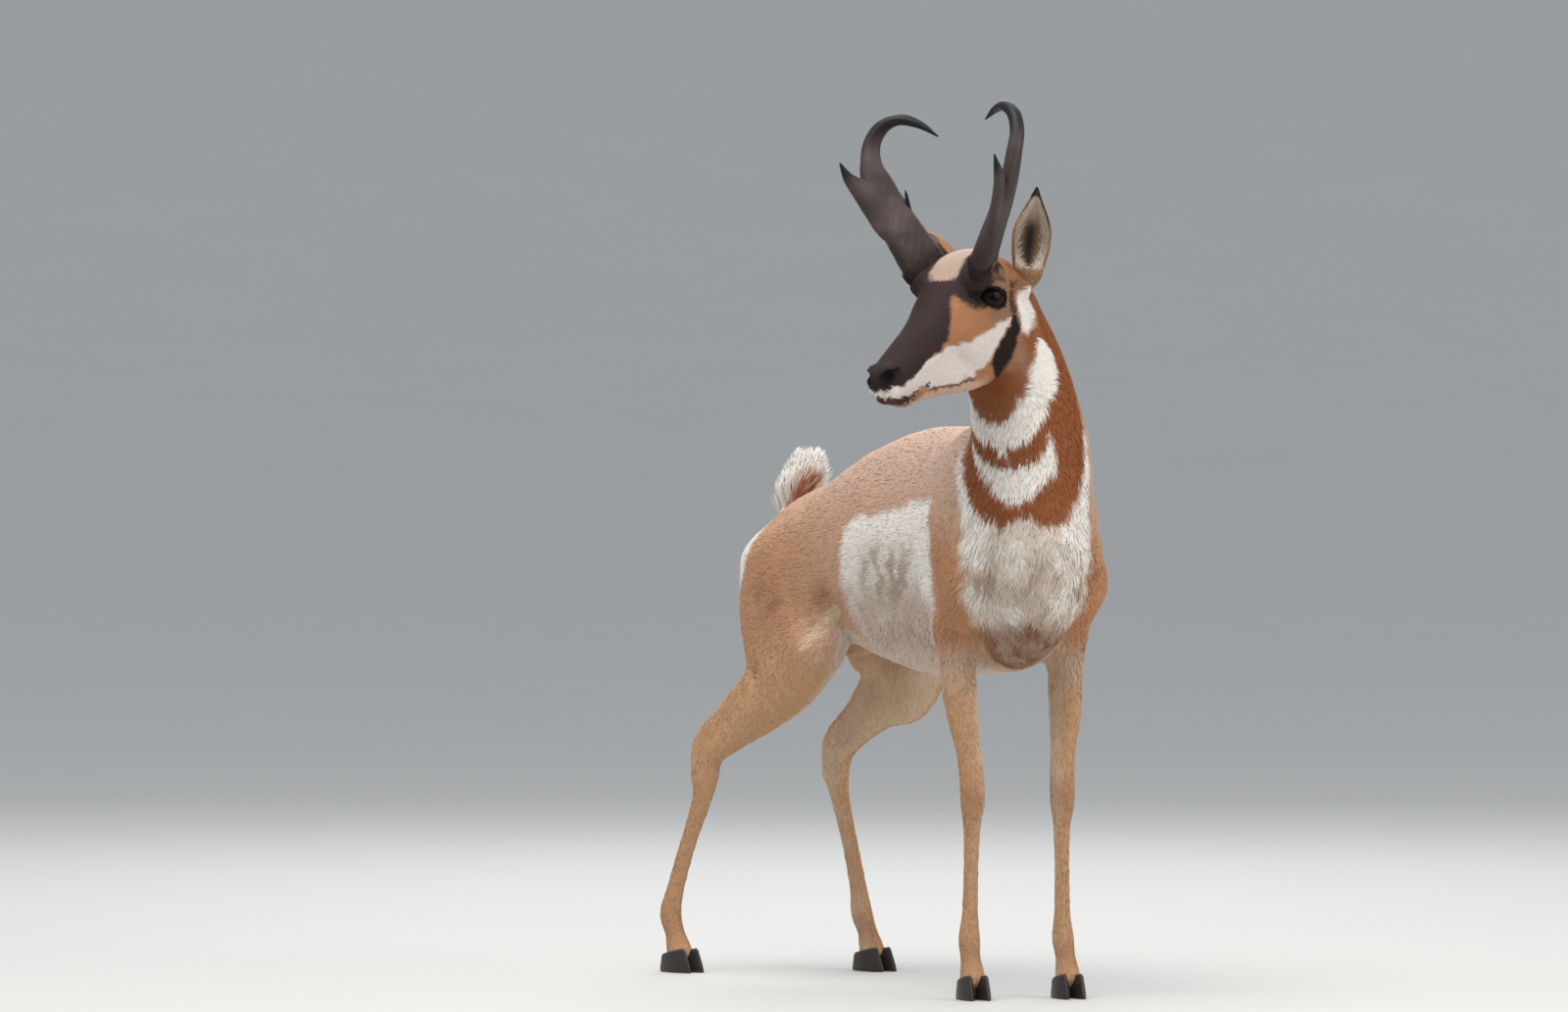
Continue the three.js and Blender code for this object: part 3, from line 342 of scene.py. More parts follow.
lines = [grid_lines(*ends) for ends in GRID_ENDS]


def block_of(low, high, grow):
    """The part of the grid between two corners, grown all round, as one slice for each axis."""
    return tuple(slice(int(np.searchsorted(line, low[i] - grow)), int(np.searchsorted(line, high[i] + grow)))
                 for i, line in enumerate(lines))


def crossings(block):
    """The x, y and z of a block's crossings, shaped so that numpy spreads them over the block."""
    x, y, z = (line[part] for line, part in zip(lines, block))
    return x[:, None, None], y[None, :, None], z[None, None, :]


def distance_field(forms):
    """Each form's bones are joined first, and then the form is joined to the sum with its own blend."""
    total = np.full([len(line) for line in lines], FAR, np.float32)
    for form in forms:
        low = np.min([bone["low"] for bone in form["bones"]], axis=0)
        high = np.max([bone["high"] for bone in form["bones"]], axis=0)
        whole = block_of(low, high, form["blend"])
        near = np.full(total[whole].shape, FAR, np.float32)
        for bone in form["bones"]:
            block = block_of(bone["low"], bone["high"], form["blend"] + 4)
            block = tuple(slice(max(b.start, w.start), min(b.stop, w.stop)) for b, w in zip(block, whole))
            inner = tuple(slice(b.start - w.start, b.stop - w.start) for b, w in zip(block, whole))
            near[inner] = rounded_min(near[inner], oval_distance(*crossings(block), bone), BONE_BLEND)
        total[whole] = rounded_min(total[whole], near, form["blend"])
    return total


body_field = distance_field(flesh)
print("grid of", body_field.shape, "crossings;", round(float((body_field < 0).mean() * 100), 1), "% inside")

# %% [markdown]
# ## From the coat's outside down to the skin
#
# The CAD solids reach to the tips of the hair, so the skin lies deeper by the coat's depth: a few
# millimetres on the body, less on the legs and like velvet on the face. A depth that changes from
# place to place could be sculpted in, but adding it to the distance does the same everywhere at once.
# The lids are added after that, and then eyes, nostrils and mouth are cut out with a rounded edge.

# %% Depth of the coat, and helpers that read the grid
BODY_COAT, LEG_COAT, FACE_COAT = 3.4, 1.8, 1.0
LEG_TOP = 430, 560
THROAT_FORWARD, THROAT_LEVEL = (-112, -52), (880, 940)
HEAD_BOX = (340, -450, 880), (600, -60, 1150)


def smooth(values, low, high):
    """From 0 to 1 between low and high, with level ends: t^2 x (3 - 2t)."""
    t = np.clip((values - low) / (high - low), 0, 1)
    return t * t * (3 - 2 * t)


def fall(values, low, high):
    """From 1 to 0 between low and high: what smooth gives for the values turned round."""
    return smooth(-values, -high, -low)


def head_weight(points):
    """1 on the head, 0 from the throat down: how far forward in the skull's frame, and how high."""
    return smooth(local(SKULL, points)[:, 0], *THROAT_FORWARD) * smooth(points[:, 2], *THROAT_LEVEL)


def depth_at(heights):
    """Depth of the coat by height: the legs' low down, and the body's above the top of the legs."""
    return LEG_COAT + (BODY_COAT - LEG_COAT) * smooth(heights, *LEG_TOP)


def coat_depth(points):
    """Depth of the coat: by height on body and legs, blended to the face's on the head."""
    depth = depth_at(points[:, 2])
    return depth + (FACE_COAT - depth) * head_weight(points)


def look_up(points, *grids):
    """Reads grids between their crossings: the eight values round a point, weighted by nearness."""
    cell, share = [], []
    for axis, line in enumerate(lines):
        n = np.clip(np.searchsorted(line, points[:, axis]) - 1, 0, len(line) - 2)
        cell.append(n)
        share.append(np.clip((points[:, axis] - line[n]) / (line[n + 1] - line[n]), 0, 1))
    found = [0.0] * len(grids)
    for a, b, c in np.ndindex(2, 2, 2):
        weight = (share[0] if a else 1 - share[0]) * (share[1] if b else 1 - share[1])
        weight = weight * (share[2] if c else 1 - share[2])
        found = [value + weight * grid[cell[0] + a, cell[1] + b, cell[2] + c]
                 for value, grid in zip(found, grids)]
    return found[0] if len(grids) == 1 else np.stack(found, axis=1)


def grid_points(block):
    """All crossings of a block as a list of points."""
    grids = np.meshgrid(*(line[part] for line, part in zip(lines, block)), indexing="ij")
    return np.stack([grid.ravel() for grid in grids], axis=1)


skin_field = body_field + depth_at(lines[2])[None, None, :]
head = block_of(*HEAD_BOX, 0)
skin_field[head] = body_field[head] + coat_depth(grid_points(head)).reshape(body_field[head].shape)
print("the coat is", FACE_COAT, "to", BODY_COAT, "mm deep")

# %% [markdown]
# ## Eyes, lids, nostrils and mouth
#
# A pronghorn's eye is very large and sits far out at the side of the skull, under a bony brow. The
# lids are two thin arcs that lie on the eyeball and meet in pointed corners. Each is a bent row of
# small bones, added to the skin, and the almond between them is cut through to the eyeball. The
# nostril is a slanting comma, and the mouth a narrow groove from corner to corner round the lips.

# %% Lids
EYE_RADIUS, EYE_HEADING, EYE_PITCH = 24.0, 57, -5
LID_LENGTH, LID_HEIGHT = 22.0, 14.5
LID_SLANT = -0.26
CORNER_POWER = 2.6
LID_POINTS = 13
LID_THICKNESS = {False: 2.7, True: 2.1}
FOLD_SPREAD, FOLD_THICKNESS = 8.5, 2.6
eye_frames = {}
for name, hand in HANDS.items():
    outward = frame_at(heading=hand * EYE_HEADING, pitch=EYE_PITCH)[1]
    eye_frames[name] = (place(SKULL, (EYE_FORWARD, hand * EYE_OUT, 0)), SKULL[1] @ outward)


def lid_edge(name, lower, count, radius, spread=0.0):
    """
    Points along one lid, at a radius from the eye's middle: at a way f along the eye the edge is
    half height x (1 - |f / half length|^power) above the slanting middle line.
    """
    f = np.linspace(-1, 1, count) * (LID_LENGTH + spread)
    half = (LID_HEIGHT + spread) * (1 - np.abs(f / (LID_LENGTH + spread)) ** CORNER_POWER)
    u = (-half if lower else half) - LID_SLANT * f
    out = np.sqrt(np.maximum(radius**2 - f**2 - u**2, 1.0))
    return place(eye_frames[name], np.stack([out, -HANDS[name] * f, u], axis=1))


ADD, CUT = 1, -1


def change_skin(forms, blend, sign):
    """
    Joins forms to the skin's field, or cuts them out with a rounded edge, which is the same on the
    field turned round: sign x rounded minimum of (sign x field, distance).
    """
    for bone in (bone for form in forms for bone in form["bones"]):
        block = block_of(bone["low"], bone["high"], blend + 2)
        distance = oval_distance(*crossings(block), bone)
        skin_field[block] = sign * rounded_min(sign * skin_field[block], distance, blend)


def row_of_bones(points, sizes, side):
    """A thin round row of bones through given points."""
    return dict(bones=[make_bone(a, b, side, (s, s), (t, t))
                       for a, b, s, t in zip(points[:-1], points[1:], sizes[:-1], sizes[1:])])


skull_up = SKULL[1][:, 2]
for name in HANDS:
    for lower, thick in LID_THICKNESS.items():
        arc = lid_edge(name, lower, LID_POINTS, EYE_RADIUS + 1.6, spread=1.6)
        ends = 0.75 + 0.25 * np.sin(np.linspace(0, math.pi, LID_POINTS))
        change_skin([row_of_bones(arc, thick * ends, skull_up)], 3.0, ADD)
    fold = lid_edge(name, False, LID_POINTS, EYE_RADIUS + 2.2, FOLD_SPREAD)[2:-2]
    change_skin([row_of_bones(fold, np.full(len(fold), FOLD_THICKNESS), skull_up)], 3.5, ADD)
print("the lids open to", 2 * LID_LENGTH, "by", 2 * LID_HEIGHT, "mm")

# %% Cut the eye openings
EYE_BLOCK, EYE_PLAY, LID_EDGE = 40, 0.2, 1.2
for name, hand in HANDS.items():
    centre = eye_frames[name][0]
    block = block_of(centre, centre, EYE_BLOCK)
    spots = local(eye_frames[name], grid_points(block))
    out, f, u = spots[:, 0], -hand * spots[:, 1], spots[:, 2]
    past = out / EYE_RADIUS - 1
    scale = 1 + 0.1 * np.clip(past, -1, 0) + 0.25 * np.clip(past, 0, 2)
    f, u = f / scale, u / scale + LID_SLANT * f / scale
    share = np.abs(f / LID_LENGTH)
    edge = LID_HEIGHT * (1 - share**CORNER_POWER)
    slope = LID_HEIGHT * CORNER_POWER / LID_LENGTH * np.minimum(share, 1) ** (CORNER_POWER - 1)
    opening = np.maximum((np.abs(u) - edge) / np.sqrt(1 + slope**2), 4 - out)
    socket = np.linalg.norm(spots, axis=1) - EYE_RADIUS - EYE_PLAY
    shape = skin_field[block].shape
    cut = -rounded_min(-skin_field[block], opening.reshape(shape).astype(np.float32), LID_EDGE)
    skin_field[block] = np.maximum(cut, -socket.reshape(shape).astype(np.float32))

# %% Nostrils and mouth
NOSTRIL = [((229, 18, -60), (13, 9, 9), -30), ((217, 26, -56), (13, 7, 5), -25)]
body_flesh, flesh = flesh, []
for hand in HANDS.values():
    for at, size, tilt in NOSTRIL:
        muscle(SKULL, at, size, 0, tilt, hand)
nostrils, flesh = flesh, body_flesh
change_skin(nostrils, 2.5, CUT)
LIP_REACH, LIP_STEPS = 95, 381


def skin_at(forward, up, way):
    """Where a line from the head's inside leaves the skin: the last of many steps that is inside."""
    steps = np.linspace(0, LIP_REACH, LIP_STEPS)[:, None]
    spots = place(SKULL, np.array([[forward, 0, up]]) + steps * np.array([way]))
    inside = look_up(spots, skin_field) < 0
    return spots[max(int(np.argmin(inside)) - 1, 0)]


MOUTH_FORWARD = [145, 165, 186, 206, 220, 228, 237]
MOUTH_LEVEL = [-89, -94, -96.5, -96.5, -93, -90, -85]
MOUTH_POINTS, MOUTH_SIZE = 41, 2.2
left = [skin_at(x, z, (0, 1, 0)) for x, z in zip(MOUTH_FORWARD[:-1], MOUTH_LEVEL)]
right = [skin_at(x, z, (0, -1, 0)) for x, z in zip(MOUTH_FORWARD[-2::-1], MOUTH_LEVEL[-2::-1])]
front = skin_at(MOUTH_FORWARD[0], MOUTH_LEVEL[-1], (1, 0, 0))
mouth_line = catmull([*left, front, *right], MOUTH_POINTS)
mouth_size = MOUTH_SIZE * np.minimum(1, 0.15 + 3 * np.sin(np.linspace(0, math.pi, MOUTH_POINTS)))
change_skin([row_of_bones(mouth_line, mouth_size, skull_up)], 2.0, CUT)
print("mouth line is", round(float(np.linalg.norm(np.diff(mouth_line, axis=0), axis=1).sum())), "mm long")

# %% [markdown]
# ## The skin's mesh
#
# Marching cubes would turn the field into many slivers. Surface nets make cleaner faces: one point
# in each cell that the skin crosses, at the middle of the crossings on the cell's edges, and one
# four-sided face round each crossed grid edge. Two small steps down the field's slope then put every
# point on the skin.

# %% Surface nets


def surface_net(field):
    """Points and quads of the surface where the field is zero, worked out for all cells at once."""
    inside = field < 0
    cells = tuple(n - 1 for n in field.shape)
    corner = lambda grid, a, b, c: grid[a:a + cells[0], b:b + cells[1], c:c + cells[2]]
    count = sum(corner(inside, *bits).astype(np.uint8) for bits in np.ndindex(2, 2, 2))
    active = (count > 0) & (count < 8)
    where = np.argwhere(active)
    ids = np.full(cells, -1, np.int32)
    ids[active] = np.arange(len(where))
    total, crossed = np.zeros((len(where), 3)), np.zeros((len(where), 1))
    for axis in range(3):
        for bits in np.ndindex(2, 2):
            a, b = (where + np.insert(bits, axis, end) for end in (0, 1))
            va, vb = field[tuple(a.T)], field[tuple(b.T)]
            change = (va < 0) != (vb < 0)
            t = np.where(change, va / np.where(change, va - vb, 1), 0)[:, None]
            pa, pb = (np.stack([line[spot[:, i]] for i, line in enumerate(lines)], axis=1) for spot in (a, b))
            total += (pa + (pb - pa) * t) * change[:, None]
            crossed += change[:, None]
    quads = []
    for axis in range(3):
        u, v = (axis + 1) % 3, (axis + 2) % 3
        near = [slice(1, n) for n in cells]
        near[axis] = slice(0, cells[axis])
        far = list(near)
        far[axis] = slice(1, cells[axis] + 1)
        first, second = inside[tuple(near)], inside[tuple(far)]
        at = np.argwhere(first != second)
        at[:, u] += 1
        at[:, v] += 1
        back_u, back_v = np.eye(3, dtype=int)[u], np.eye(3, dtype=int)[v]
        ring = [ids[tuple((at - shift).T)] for shift in (0 * back_u, back_u, back_u + back_v, back_v)]
        ring = np.stack(ring, axis=1)
        outward = first[first != second]
        quads.append(np.where(outward[:, None], ring, ring[:, ::-1]))
    return total / crossed, np.concatenate(quads)


def settle(points, field, slopes, target=0.0, rounds=2, limit=1.5):
    """Newton steps: move along the slope by the value that is left, divided by the slope squared."""
    for _ in range(rounds):
        found = look_up(points, field, *slopes)
        slope = found[:, 1:]
        step = (target - found[:, 0]) / np.maximum((slope**2).sum(axis=1), 0.3)
        points = points + slope * np.clip(step, -limit, limit)[:, None]
    return points


skin_points, skin_quads = surface_net(skin_field)
skin_slopes = np.gradient(skin_field, *lines)
skin_points = settle(skin_points, skin_field, skin_slopes)
print("skin:", len(skin_points), "points,", 2 * len(skin_quads), "triangles")

# %% [markdown]
# ## Where the markings lie
#
# A pronghorn is known by its markings: a dark mask down the nose, a black patch behind the jaw, two
# white bands and a rust shield on the neck, white flanks and rump. They could be painted by hand, but
# then the skin and all the tufts on it would have to be painted alike. So each marking is an outline in
# the body's own measures, and one function gives the colour of any point, for skin and hair together.
#
# The face is measured forward along the skull and in degrees round it from the nose ridge, the neck
# in degrees from its front and in height, and the flank and rump along the body and in height.

# %% Measures of the body
FACE_MM_PER_DEGREE, NECK_MM_PER_DEGREE = 0.85, 1.6
MIDDLE_DROP, MIDDLE_SLANT = 38, 0.19
NECK_HEIGHTS = [400, 676, 716, 800, 880, 950, 1012]
NECK_X = [300, 300, 316, 351, 366, 374, 379]
NECK_Y = [-59, -59, -62, -60, -78, -100, -122]
THROAT_TURN = ([660, 720, 800, 850, 900], [-18, -25, -42, -55, -62])


def face_measures(points):
    """How far forward of the eyes, and the angle round the skull's slanting middle line, from its top."""
    forward, left, up = local(SKULL, points).T
    return forward, np.degrees(np.arctan2(np.abs(left), up - (-MIDDLE_DROP - MIDDLE_SLANT * forward)))


def neck_offset(points):
    """How far forward and left of the neck's middle line each point lies, at its own height."""
    x, y = (np.interp(points[:, 2], NECK_HEIGHTS, middle) for middle in (NECK_X, NECK_Y))
    return points[:, 0] - x, points[:, 1] - y


def throat_angle(points):
    """The angle round the neck from the middle of the throat, which turns with height to the head."""
    x, y = neck_offset(points)
    turn = np.degrees(np.arctan2(y, x)) - np.interp(points[:, 2], *THROAT_TURN)
    return np.abs((turn + 180) % 360 - 180)


def chest_share(points):
    """0 at the pelvis and 1 at the chest, changing evenly between them."""
    return np.clip((points[:, 0] + 200) / 350, 0, 1)


def along_body(points):
    """Forward measure of the trunk: the pelvis's behind, the chest's in front, blended between."""
    behind = local(PELVIS, points)[:, 0] + PELVIS[0][0]
    front = local(CHEST, points)[:, 0] + CHEST[0][0]
    share = chest_share(points)
    return behind * (1 - share) + front * share


def outline_weight(u, v, outline, soft, scale=(1.0, 1.0)):
    """
    1 inside a closed outline and 0 outside, fading over soft mm. The distance is the least to any
    side of the outline, and its sign comes from how many sides a line to the right crosses.
    """
    corners = np.array(outline, float) * scale
    u, v = u * scale[0], v * scale[1]
    least, inside = np.full(u.shape, FAR), np.zeros(u.shape, bool)
    for (ax, ay), (bx, by) in zip(corners, np.roll(corners, -1, axis=0)):
        dx, dy = bx - ax, by - ay
        t = np.clip(((u - ax) * dx + (v - ay) * dy) / (dx * dx + dy * dy), 0, 1)
        least = np.minimum(least, np.hypot(u - ax - t * dx, v - ay - t * dy))
        crosses = (ay > v) != (by > v)
        inside ^= crosses & (u < ax + (v - ay) * dx / np.where(crosses, dy, 1.0))
    return smooth(np.where(inside, least, -least), -soft, soft)


# %% [markdown]
# ## Outlines of the markings
#
# These sizes come from the photograph, measured where its borders fall on the body, and the same
# outlines serve both sides. Colours are ordinary screen colours, turned into Blender's linear light.

# %% Colours


def light(red, green, blue):
    """Screen colour of 0 to 255 to linear light: ((value + 0.055) / 1.055) to the power 2.4."""
    c = np.array([red, green, blue], float) / 255
    return np.where(c <= 0.04045, c / 12.92, ((c + 0.055) / 1.055) ** 2.4)


# Some of these colours stand partly for light and shade: the back for light from above, the belly and the
# chest base for shade underneath, the shaded cheek white and the crease brown for shade on the face.
COAT = {"back": light(194, 163, 144), "side": light(194, 154, 126), "haunch": light(188, 141, 108),
        "haunch dark": light(140, 96, 66), "shoulder": light(180, 130, 94), "belly": light(192, 168, 150),
        "leg": light(190, 148, 112), "inner leg": light(206, 178, 150), "knee": light(148, 104, 76),
        "white": light(234, 227, 218), "breast": light(212, 197, 182), "chest base and shade": light(128, 90, 62),
        "moult": light(158, 134, 114), "rust": light(137, 80, 45), "nape": light(152, 102, 68),
        "cheek": light(164, 113, 78), "shaded cheek white": light(218, 207, 198), "jaw": light(194, 164, 140),
        "mask": light(49, 35, 35), "crown": light(178, 154, 137), "temple": light(150, 112, 88),
        "crease shade and stripe": light(84, 52, 38), "lip": light(70, 44, 32), "jaw black": light(30, 17, 10),
        "dark": light(22, 16, 16)}
print(len(COAT), "colours of the coat")

# %% Outlines on the head, in mm forward and degrees round it
MASK = [(44, -9), (42, 12), (50, 19), (58, 22), (72, 32), (87, 46), (92, 54), (106, 65), (131, 74), (156, 76),
        (181, 83), (199, 89), (214, 93), (228, 84), (239, 96), (262, 60), (262, -9)]
BROW_DARK = [(62, 14), (58, 26), (50, 40), (42, 50), (34, 57), (24, 60), (14, 54), (8, 42), (8, 30),
             (24, 20), (42, 8)]
WHITE_CHEEK = [(-32, 95), (16, 92), (66, 87), (100, 78), (131, 73), (170, 77), (190, 81), (205, 88),
               (217, 90), (228, 88), (240, 98), (244, 120), (236, 141), (212, 138), (186, 137), (160, 138),
               (148, 139), (122, 143), (100, 147), (81, 146), (59, 143), (43, 136), (20, 122), (1, 112),
               (-28, 104)]
JAW_PATCH = [(-35, 96), (-28, 104), (1, 113), (20, 123), (28, 133), (16, 145), (4, 156), (-6, 148),
             (-22, 139), (-36, 127), (-47, 112), (-45, 99), (-41, 92)]
EAR_PATCH = [(-60, 74), (-51, 95), (-49, 117), (-62, 124), (-84, 118), (-93, 105), (-91, 85), (-80, 70)]
CROWN = [(42, -9), (41, 12), (36, 20), (26, 27), (8, 24), (-20, 18), (-50, 24), (-78, 20), (-78, -9)]
EYE_STRIPE = [(-46, 97), (-38, 94), (-35, 80), (-41, 66), (-54, 54), (-62, 58), (-51, 70), (-46, 82)]
JAW_LINE = [(152, 138), (122, 143), (100, 147), (81, 146), (58, 144), (58, 147), (81, 149), (100, 150),
            (122, 146), (150, 141)]
# The white cheek is laid in a greyer copy of the white, as painted shade on the face.
FACE_LAYERS = [("crown", CROWN, 5), ("shaded cheek white", WHITE_CHEEK, 3), ("mask", MASK, 3),
               ("mask", BROW_DARK, 4), ("crease shade and stripe", EYE_STRIPE, 3), ("jaw black", JAW_PATCH, 3),
               ("white", EAR_PATCH, 4), ("lip", JAW_LINE, 2)]
print(len(FACE_LAYERS), "outlines on each side of the head")

# %% Outlines on the neck, in degrees from its front and height, and on the trunk, in mm forward and height
RUST_NECK = [(-5, 732), (3, 731), (12, 719), (24, 728), (34, 745), (48, 768), (62, 795), (74, 815), (92, 845),
             (108, 880), (122, 930), (130, 1060), (-5, 1060)]
UPPER_BAND = [(-5, 874), (10, 874), (27, 893), (40, 925), (47, 943), (60, 968), (76, 990), (84, 986),
              (92, 962), (82, 932), (62, 898), (42, 864), (22, 842), (6, 838), (-5, 838)]
UPPER_DRIP = [(-5, 845), (5, 845), (4, 822), (-4, 822)]
LOWER_BAND = [(-5, 806), (10, 806), (22, 812), (32, 826), (50, 852), (46, 832), (40, 815), (26, 788),
              (14, 768), (5, 752), (-5, 752)]
SIDE_BAND = [(92, 852), (99, 846), (86, 814), (74, 792), (64, 776), (57, 758), (50, 731), (43, 704),
             (41, 668), (25, 655), (22, 715), (34, 744), (48, 768), (62, 795), (74, 815)]
NECK_LAYERS = [("white", SIDE_BAND, 5), ("rust", RUST_NECK, 5), ("white", UPPER_BAND, 3.5),
               ("white", UPPER_DRIP, 4), ("white", LOWER_BAND, 3.5)]
BREAST = [(-5, 740), (22, 728), (43, 704), (41, 642), (44, 593), (38, 550), (36, 520), (-5, 500)]
CHEST_BASE = [(-5, 572), (20, 570), (44, 560), (60, 520), (60, 420), (-5, 420)]
FLANK = [(252, 750), (200, 742), (75, 728), (-20, 716), (-56, 702), (-64, 660), (-72, 622), (-98, 592),
         (-165, 562), (-190, 540), (-190, 420), (256, 420), (262, 560), (272, 640), (266, 700)]
RUMP = [(-220, 772), (-92, 752), (-66, 722), (-60, 680), (-68, 625), (-86, 590), (-220, 560)]
STIFLE_STRIP = [(196, 572), (170, 560), (150, 534), (118, 508), (112, 520), (140, 546), (160, 572),
                (186, 584)]
print(len(NECK_LAYERS) + 5, "outlines on neck and trunk")

# %% [markdown]
# ## One colour function for skin and hair
#
# Each marking is laid over the colours below it by its weight. The borders of a real coat aren't
# sharp lines: hairs of both colours mix there. So the points are shifted by a few millimetres of noise
# before they are measured, and each tuft later takes its colour at its own root.

# %% Noise and soft masks


def wave_noise(points, size, seed):
    """Cheap smooth noise: the mean of five sine waves whose directions and phases come from a seed."""
    draws = np.random.default_rng(seed)
    ways, phases = unit(draws.normal(size=(5, 3))), draws.uniform(0, 2 * np.pi, 5)
    turns = points @ (ways.T * (2 * np.pi / size)) * draws.uniform(0.6, 1.5, 5) + phases
    return np.sin(turns).mean(axis=1)


def moult_clumps(points):
    """Clumps of winter hair that has not come out yet, about 34 mm apart."""
    return smooth(wave_noise(points, 34, 8), -0.15, 0.35)


def patch_weight(*measures, power=2):
    """A soft patch: e to the power of minus the sum of ((value - middle) / reach) to a power."""
    return np.exp(-sum(((value - middle) / reach) ** power for value, middle, reach in measures))


def leg_inner(points):
    """1 on the inner side of a leg: nearer to the body's middle plane than the leg's own middle."""
    middle = np.interp(points[:, 2], [320, 500], [70, 84])
    fore = smooth(middle - np.abs(local(CHEST, points)[:, 1]), 3, 15)
    hind = smooth(118 - np.abs(local(PELVIS, points)[:, 1]), -2, 14)
    return np.where(points[:, 0] > 50, fore, hind)


def near_line(points, line, reach, soft):
    """1 near a line of points, fading to 0: the least distance to it, from reach out over soft mm."""
    gap = np.full(len(points), FAR)
    for spot in line:
        gap = np.minimum(gap, np.linalg.norm(points - spot, axis=1))
    return 1 - smooth(gap, reach, reach + soft)


def eye_measures(name, points):
    """How far out of the head, forward and up each point lies from an eye's middle."""
    out, left, up = local(eye_frames[name], points).T
    return out, -HANDS[name] * left, up


def dark_openings(points):
    """Bare dark skin: round the eyes and before their front corners, in the nostrils, along the mouth."""
    weight = near_line(points, mouth_line, 2.0, 2.5)
    for name in HANDS:
        out, f, u = eye_measures(name, points)
        u = u + LID_SLANT * f
        ring = np.hypot(f / 26.5, u / 18.5)
        front = np.hypot((f - 26) / 15, (u - 1) / 10)
        around = 1 - smooth(np.minimum(ring, front), 0.92, 1.12)
        weight = np.maximum(weight, np.where(out > 0, around, 0))
    for form in nostrils:
        gap = oval_distance(*points.T, form["bones"][0])
        weight = np.maximum(weight, 1 - smooth(gap, 2.0, 5.5))
    return weight


# %% Laying one colour over another


def lay(colour, name, weight):
    """Changes colour in place: colour x (1 - weight) + new colour x weight."""
    colour += (COAT[name] - colour) * np.clip(weight, 0, 1)[:, None]


def lay_outlines(colour, layers, u, v, scale, weight):
    """Lays each layer of colour, outline and softness where two measures lie inside its outline."""
    for name, outline, soft in layers:
        lay(colour, name, outline_weight(u, v, outline, soft, scale) * weight)


# %% Markings of trunk and legs


def trunk_marks(colour, points):
    """Back, haunch, shoulder, belly and legs, then the white flank with its moult, and the rump. The paler
    back is partly painted light, and the beige belly is partly painted shade.
    """
    z, s, clumps = points[:, 2], along_body(points), moult_clumps(points)
    forward, aside, _ = local(PELVIS, points).T
    aside = np.abs(aside)
    outer_side = smooth(aside, 84, 104) * (s < -40)
    leg = fall(z, *LEG_TOP)
    # Painted light in part: the top of the trunk is laid paler, as if lit from above and behind.
    lay(colour, "back", smooth(z, 690, 800))
    lay(colour, "haunch", fall(s, -260, -120) * fall(z, 640, 740))
    lay(colour, "shoulder", smooth(local(CHEST, points)[:, 0], -60, 10) * fall(z, 650, 730))
    # Painted shade in part: beige under the belly between the legs.
    lay(colour, "belly", fall(z, 500, 560) * smooth(s, -200, -120) * smooth(z, 400, 440))
    lay(colour, "leg", leg)
    lay(colour, "inner leg", leg * leg_inner(points))
    haunch = smooth(aside, 92, 112) * fall(z, 600, 640) * fall(s, -90, -40)
    ragged_s, ragged_z = s + 8 * wave_noise(points, 50, 21), z + 8 * wave_noise(points, 60, 22)
    flank = outline_weight(ragged_s, ragged_z, FLANK, 9) * (1 - leg) * (1 - haunch)
    moult = 1.2 * patch_weight((s, 95, 115), (z, 628, 52), power=4)
    lay(colour, "white", flank)
    # Painted shade in part: the white flank turns beige towards the bottom, mottled by the moult clumps.
    lay(colour, "belly", flank * fall(z, 570, 640) * (0.95 - 0.5 * clumps * smooth(z, 540, 580)))
    lay(colour, "moult", flank * moult * (0.2 + 0.5 * clumps))
    lay(colour, "white", flank * patch_weight((s, 240, 26), power=4) * smooth(z, 585, 610))
    lay(colour, "white", outline_weight(forward, z, RUMP, 6))
    patches = patch_weight((forward, 22, 42), (z, 596, 40)) + patch_weight((forward, 165, 45), (z, 588, 26))
    lay(colour, "haunch dark", patches * outer_side * (0.35 + 0.4 * clumps) * (1 - flank))
    lay(colour, "inner leg", outline_weight(forward, z, STIFLE_STRIP, 4) * outer_side)
    lay(colour, "knee", patch_weight((z, CARPUS, 34)) * smooth(points[:, 0], 0, 100) * 0.45)
    lay(colour, "knee", patch_weight((z, 70, 26)) * 0.5 * leg)


# %% Markings of the neck


def neck_marks(colour, points):
    """Nape, pale breast with its moult, the breast's brown base, partly painted shade, the rust neck and its
    white bands.
    """
    z, angle, clumps = points[:, 2], throat_angle(points), moult_clumps(points)
    neck = smooth(local(CHEST, points)[:, 0] - (z - 700) * 0.25, -60, 30)
    scale = (NECK_MM_PER_DEGREE, 1.0)
    breast = outline_weight(angle, z, BREAST, 8, scale) * neck
    broad_clumps = smooth(wave_noise(points, 85, 9), 0.0, 0.35)
    base_and_shade = outline_weight(angle, z, CHEST_BASE, 14, scale) * neck
    lay(colour, "nape", smooth(z, 850, 920) * smooth(points[:, 0], 150, 250))
    lay(colour, "breast", breast)
    lay(colour, "moult", breast * fall(z, 640, 690) * (0.25 * clumps + 0.6 * broad_clumps))
    lay(colour, "white", breast * smooth(wave_noise(points, 70, 15), 0.15, 0.4) * 0.7)
    # Painted shade in part: the chest's underside is laid brown, partly its own colour and partly the shade
    # below the breast.
    lay(colour, "chest base and shade", base_and_shade * (0.7 + 0.3 * clumps))
    lay_outlines(colour, NECK_LAYERS, angle, z, scale, neck)


# %% Markings of the head


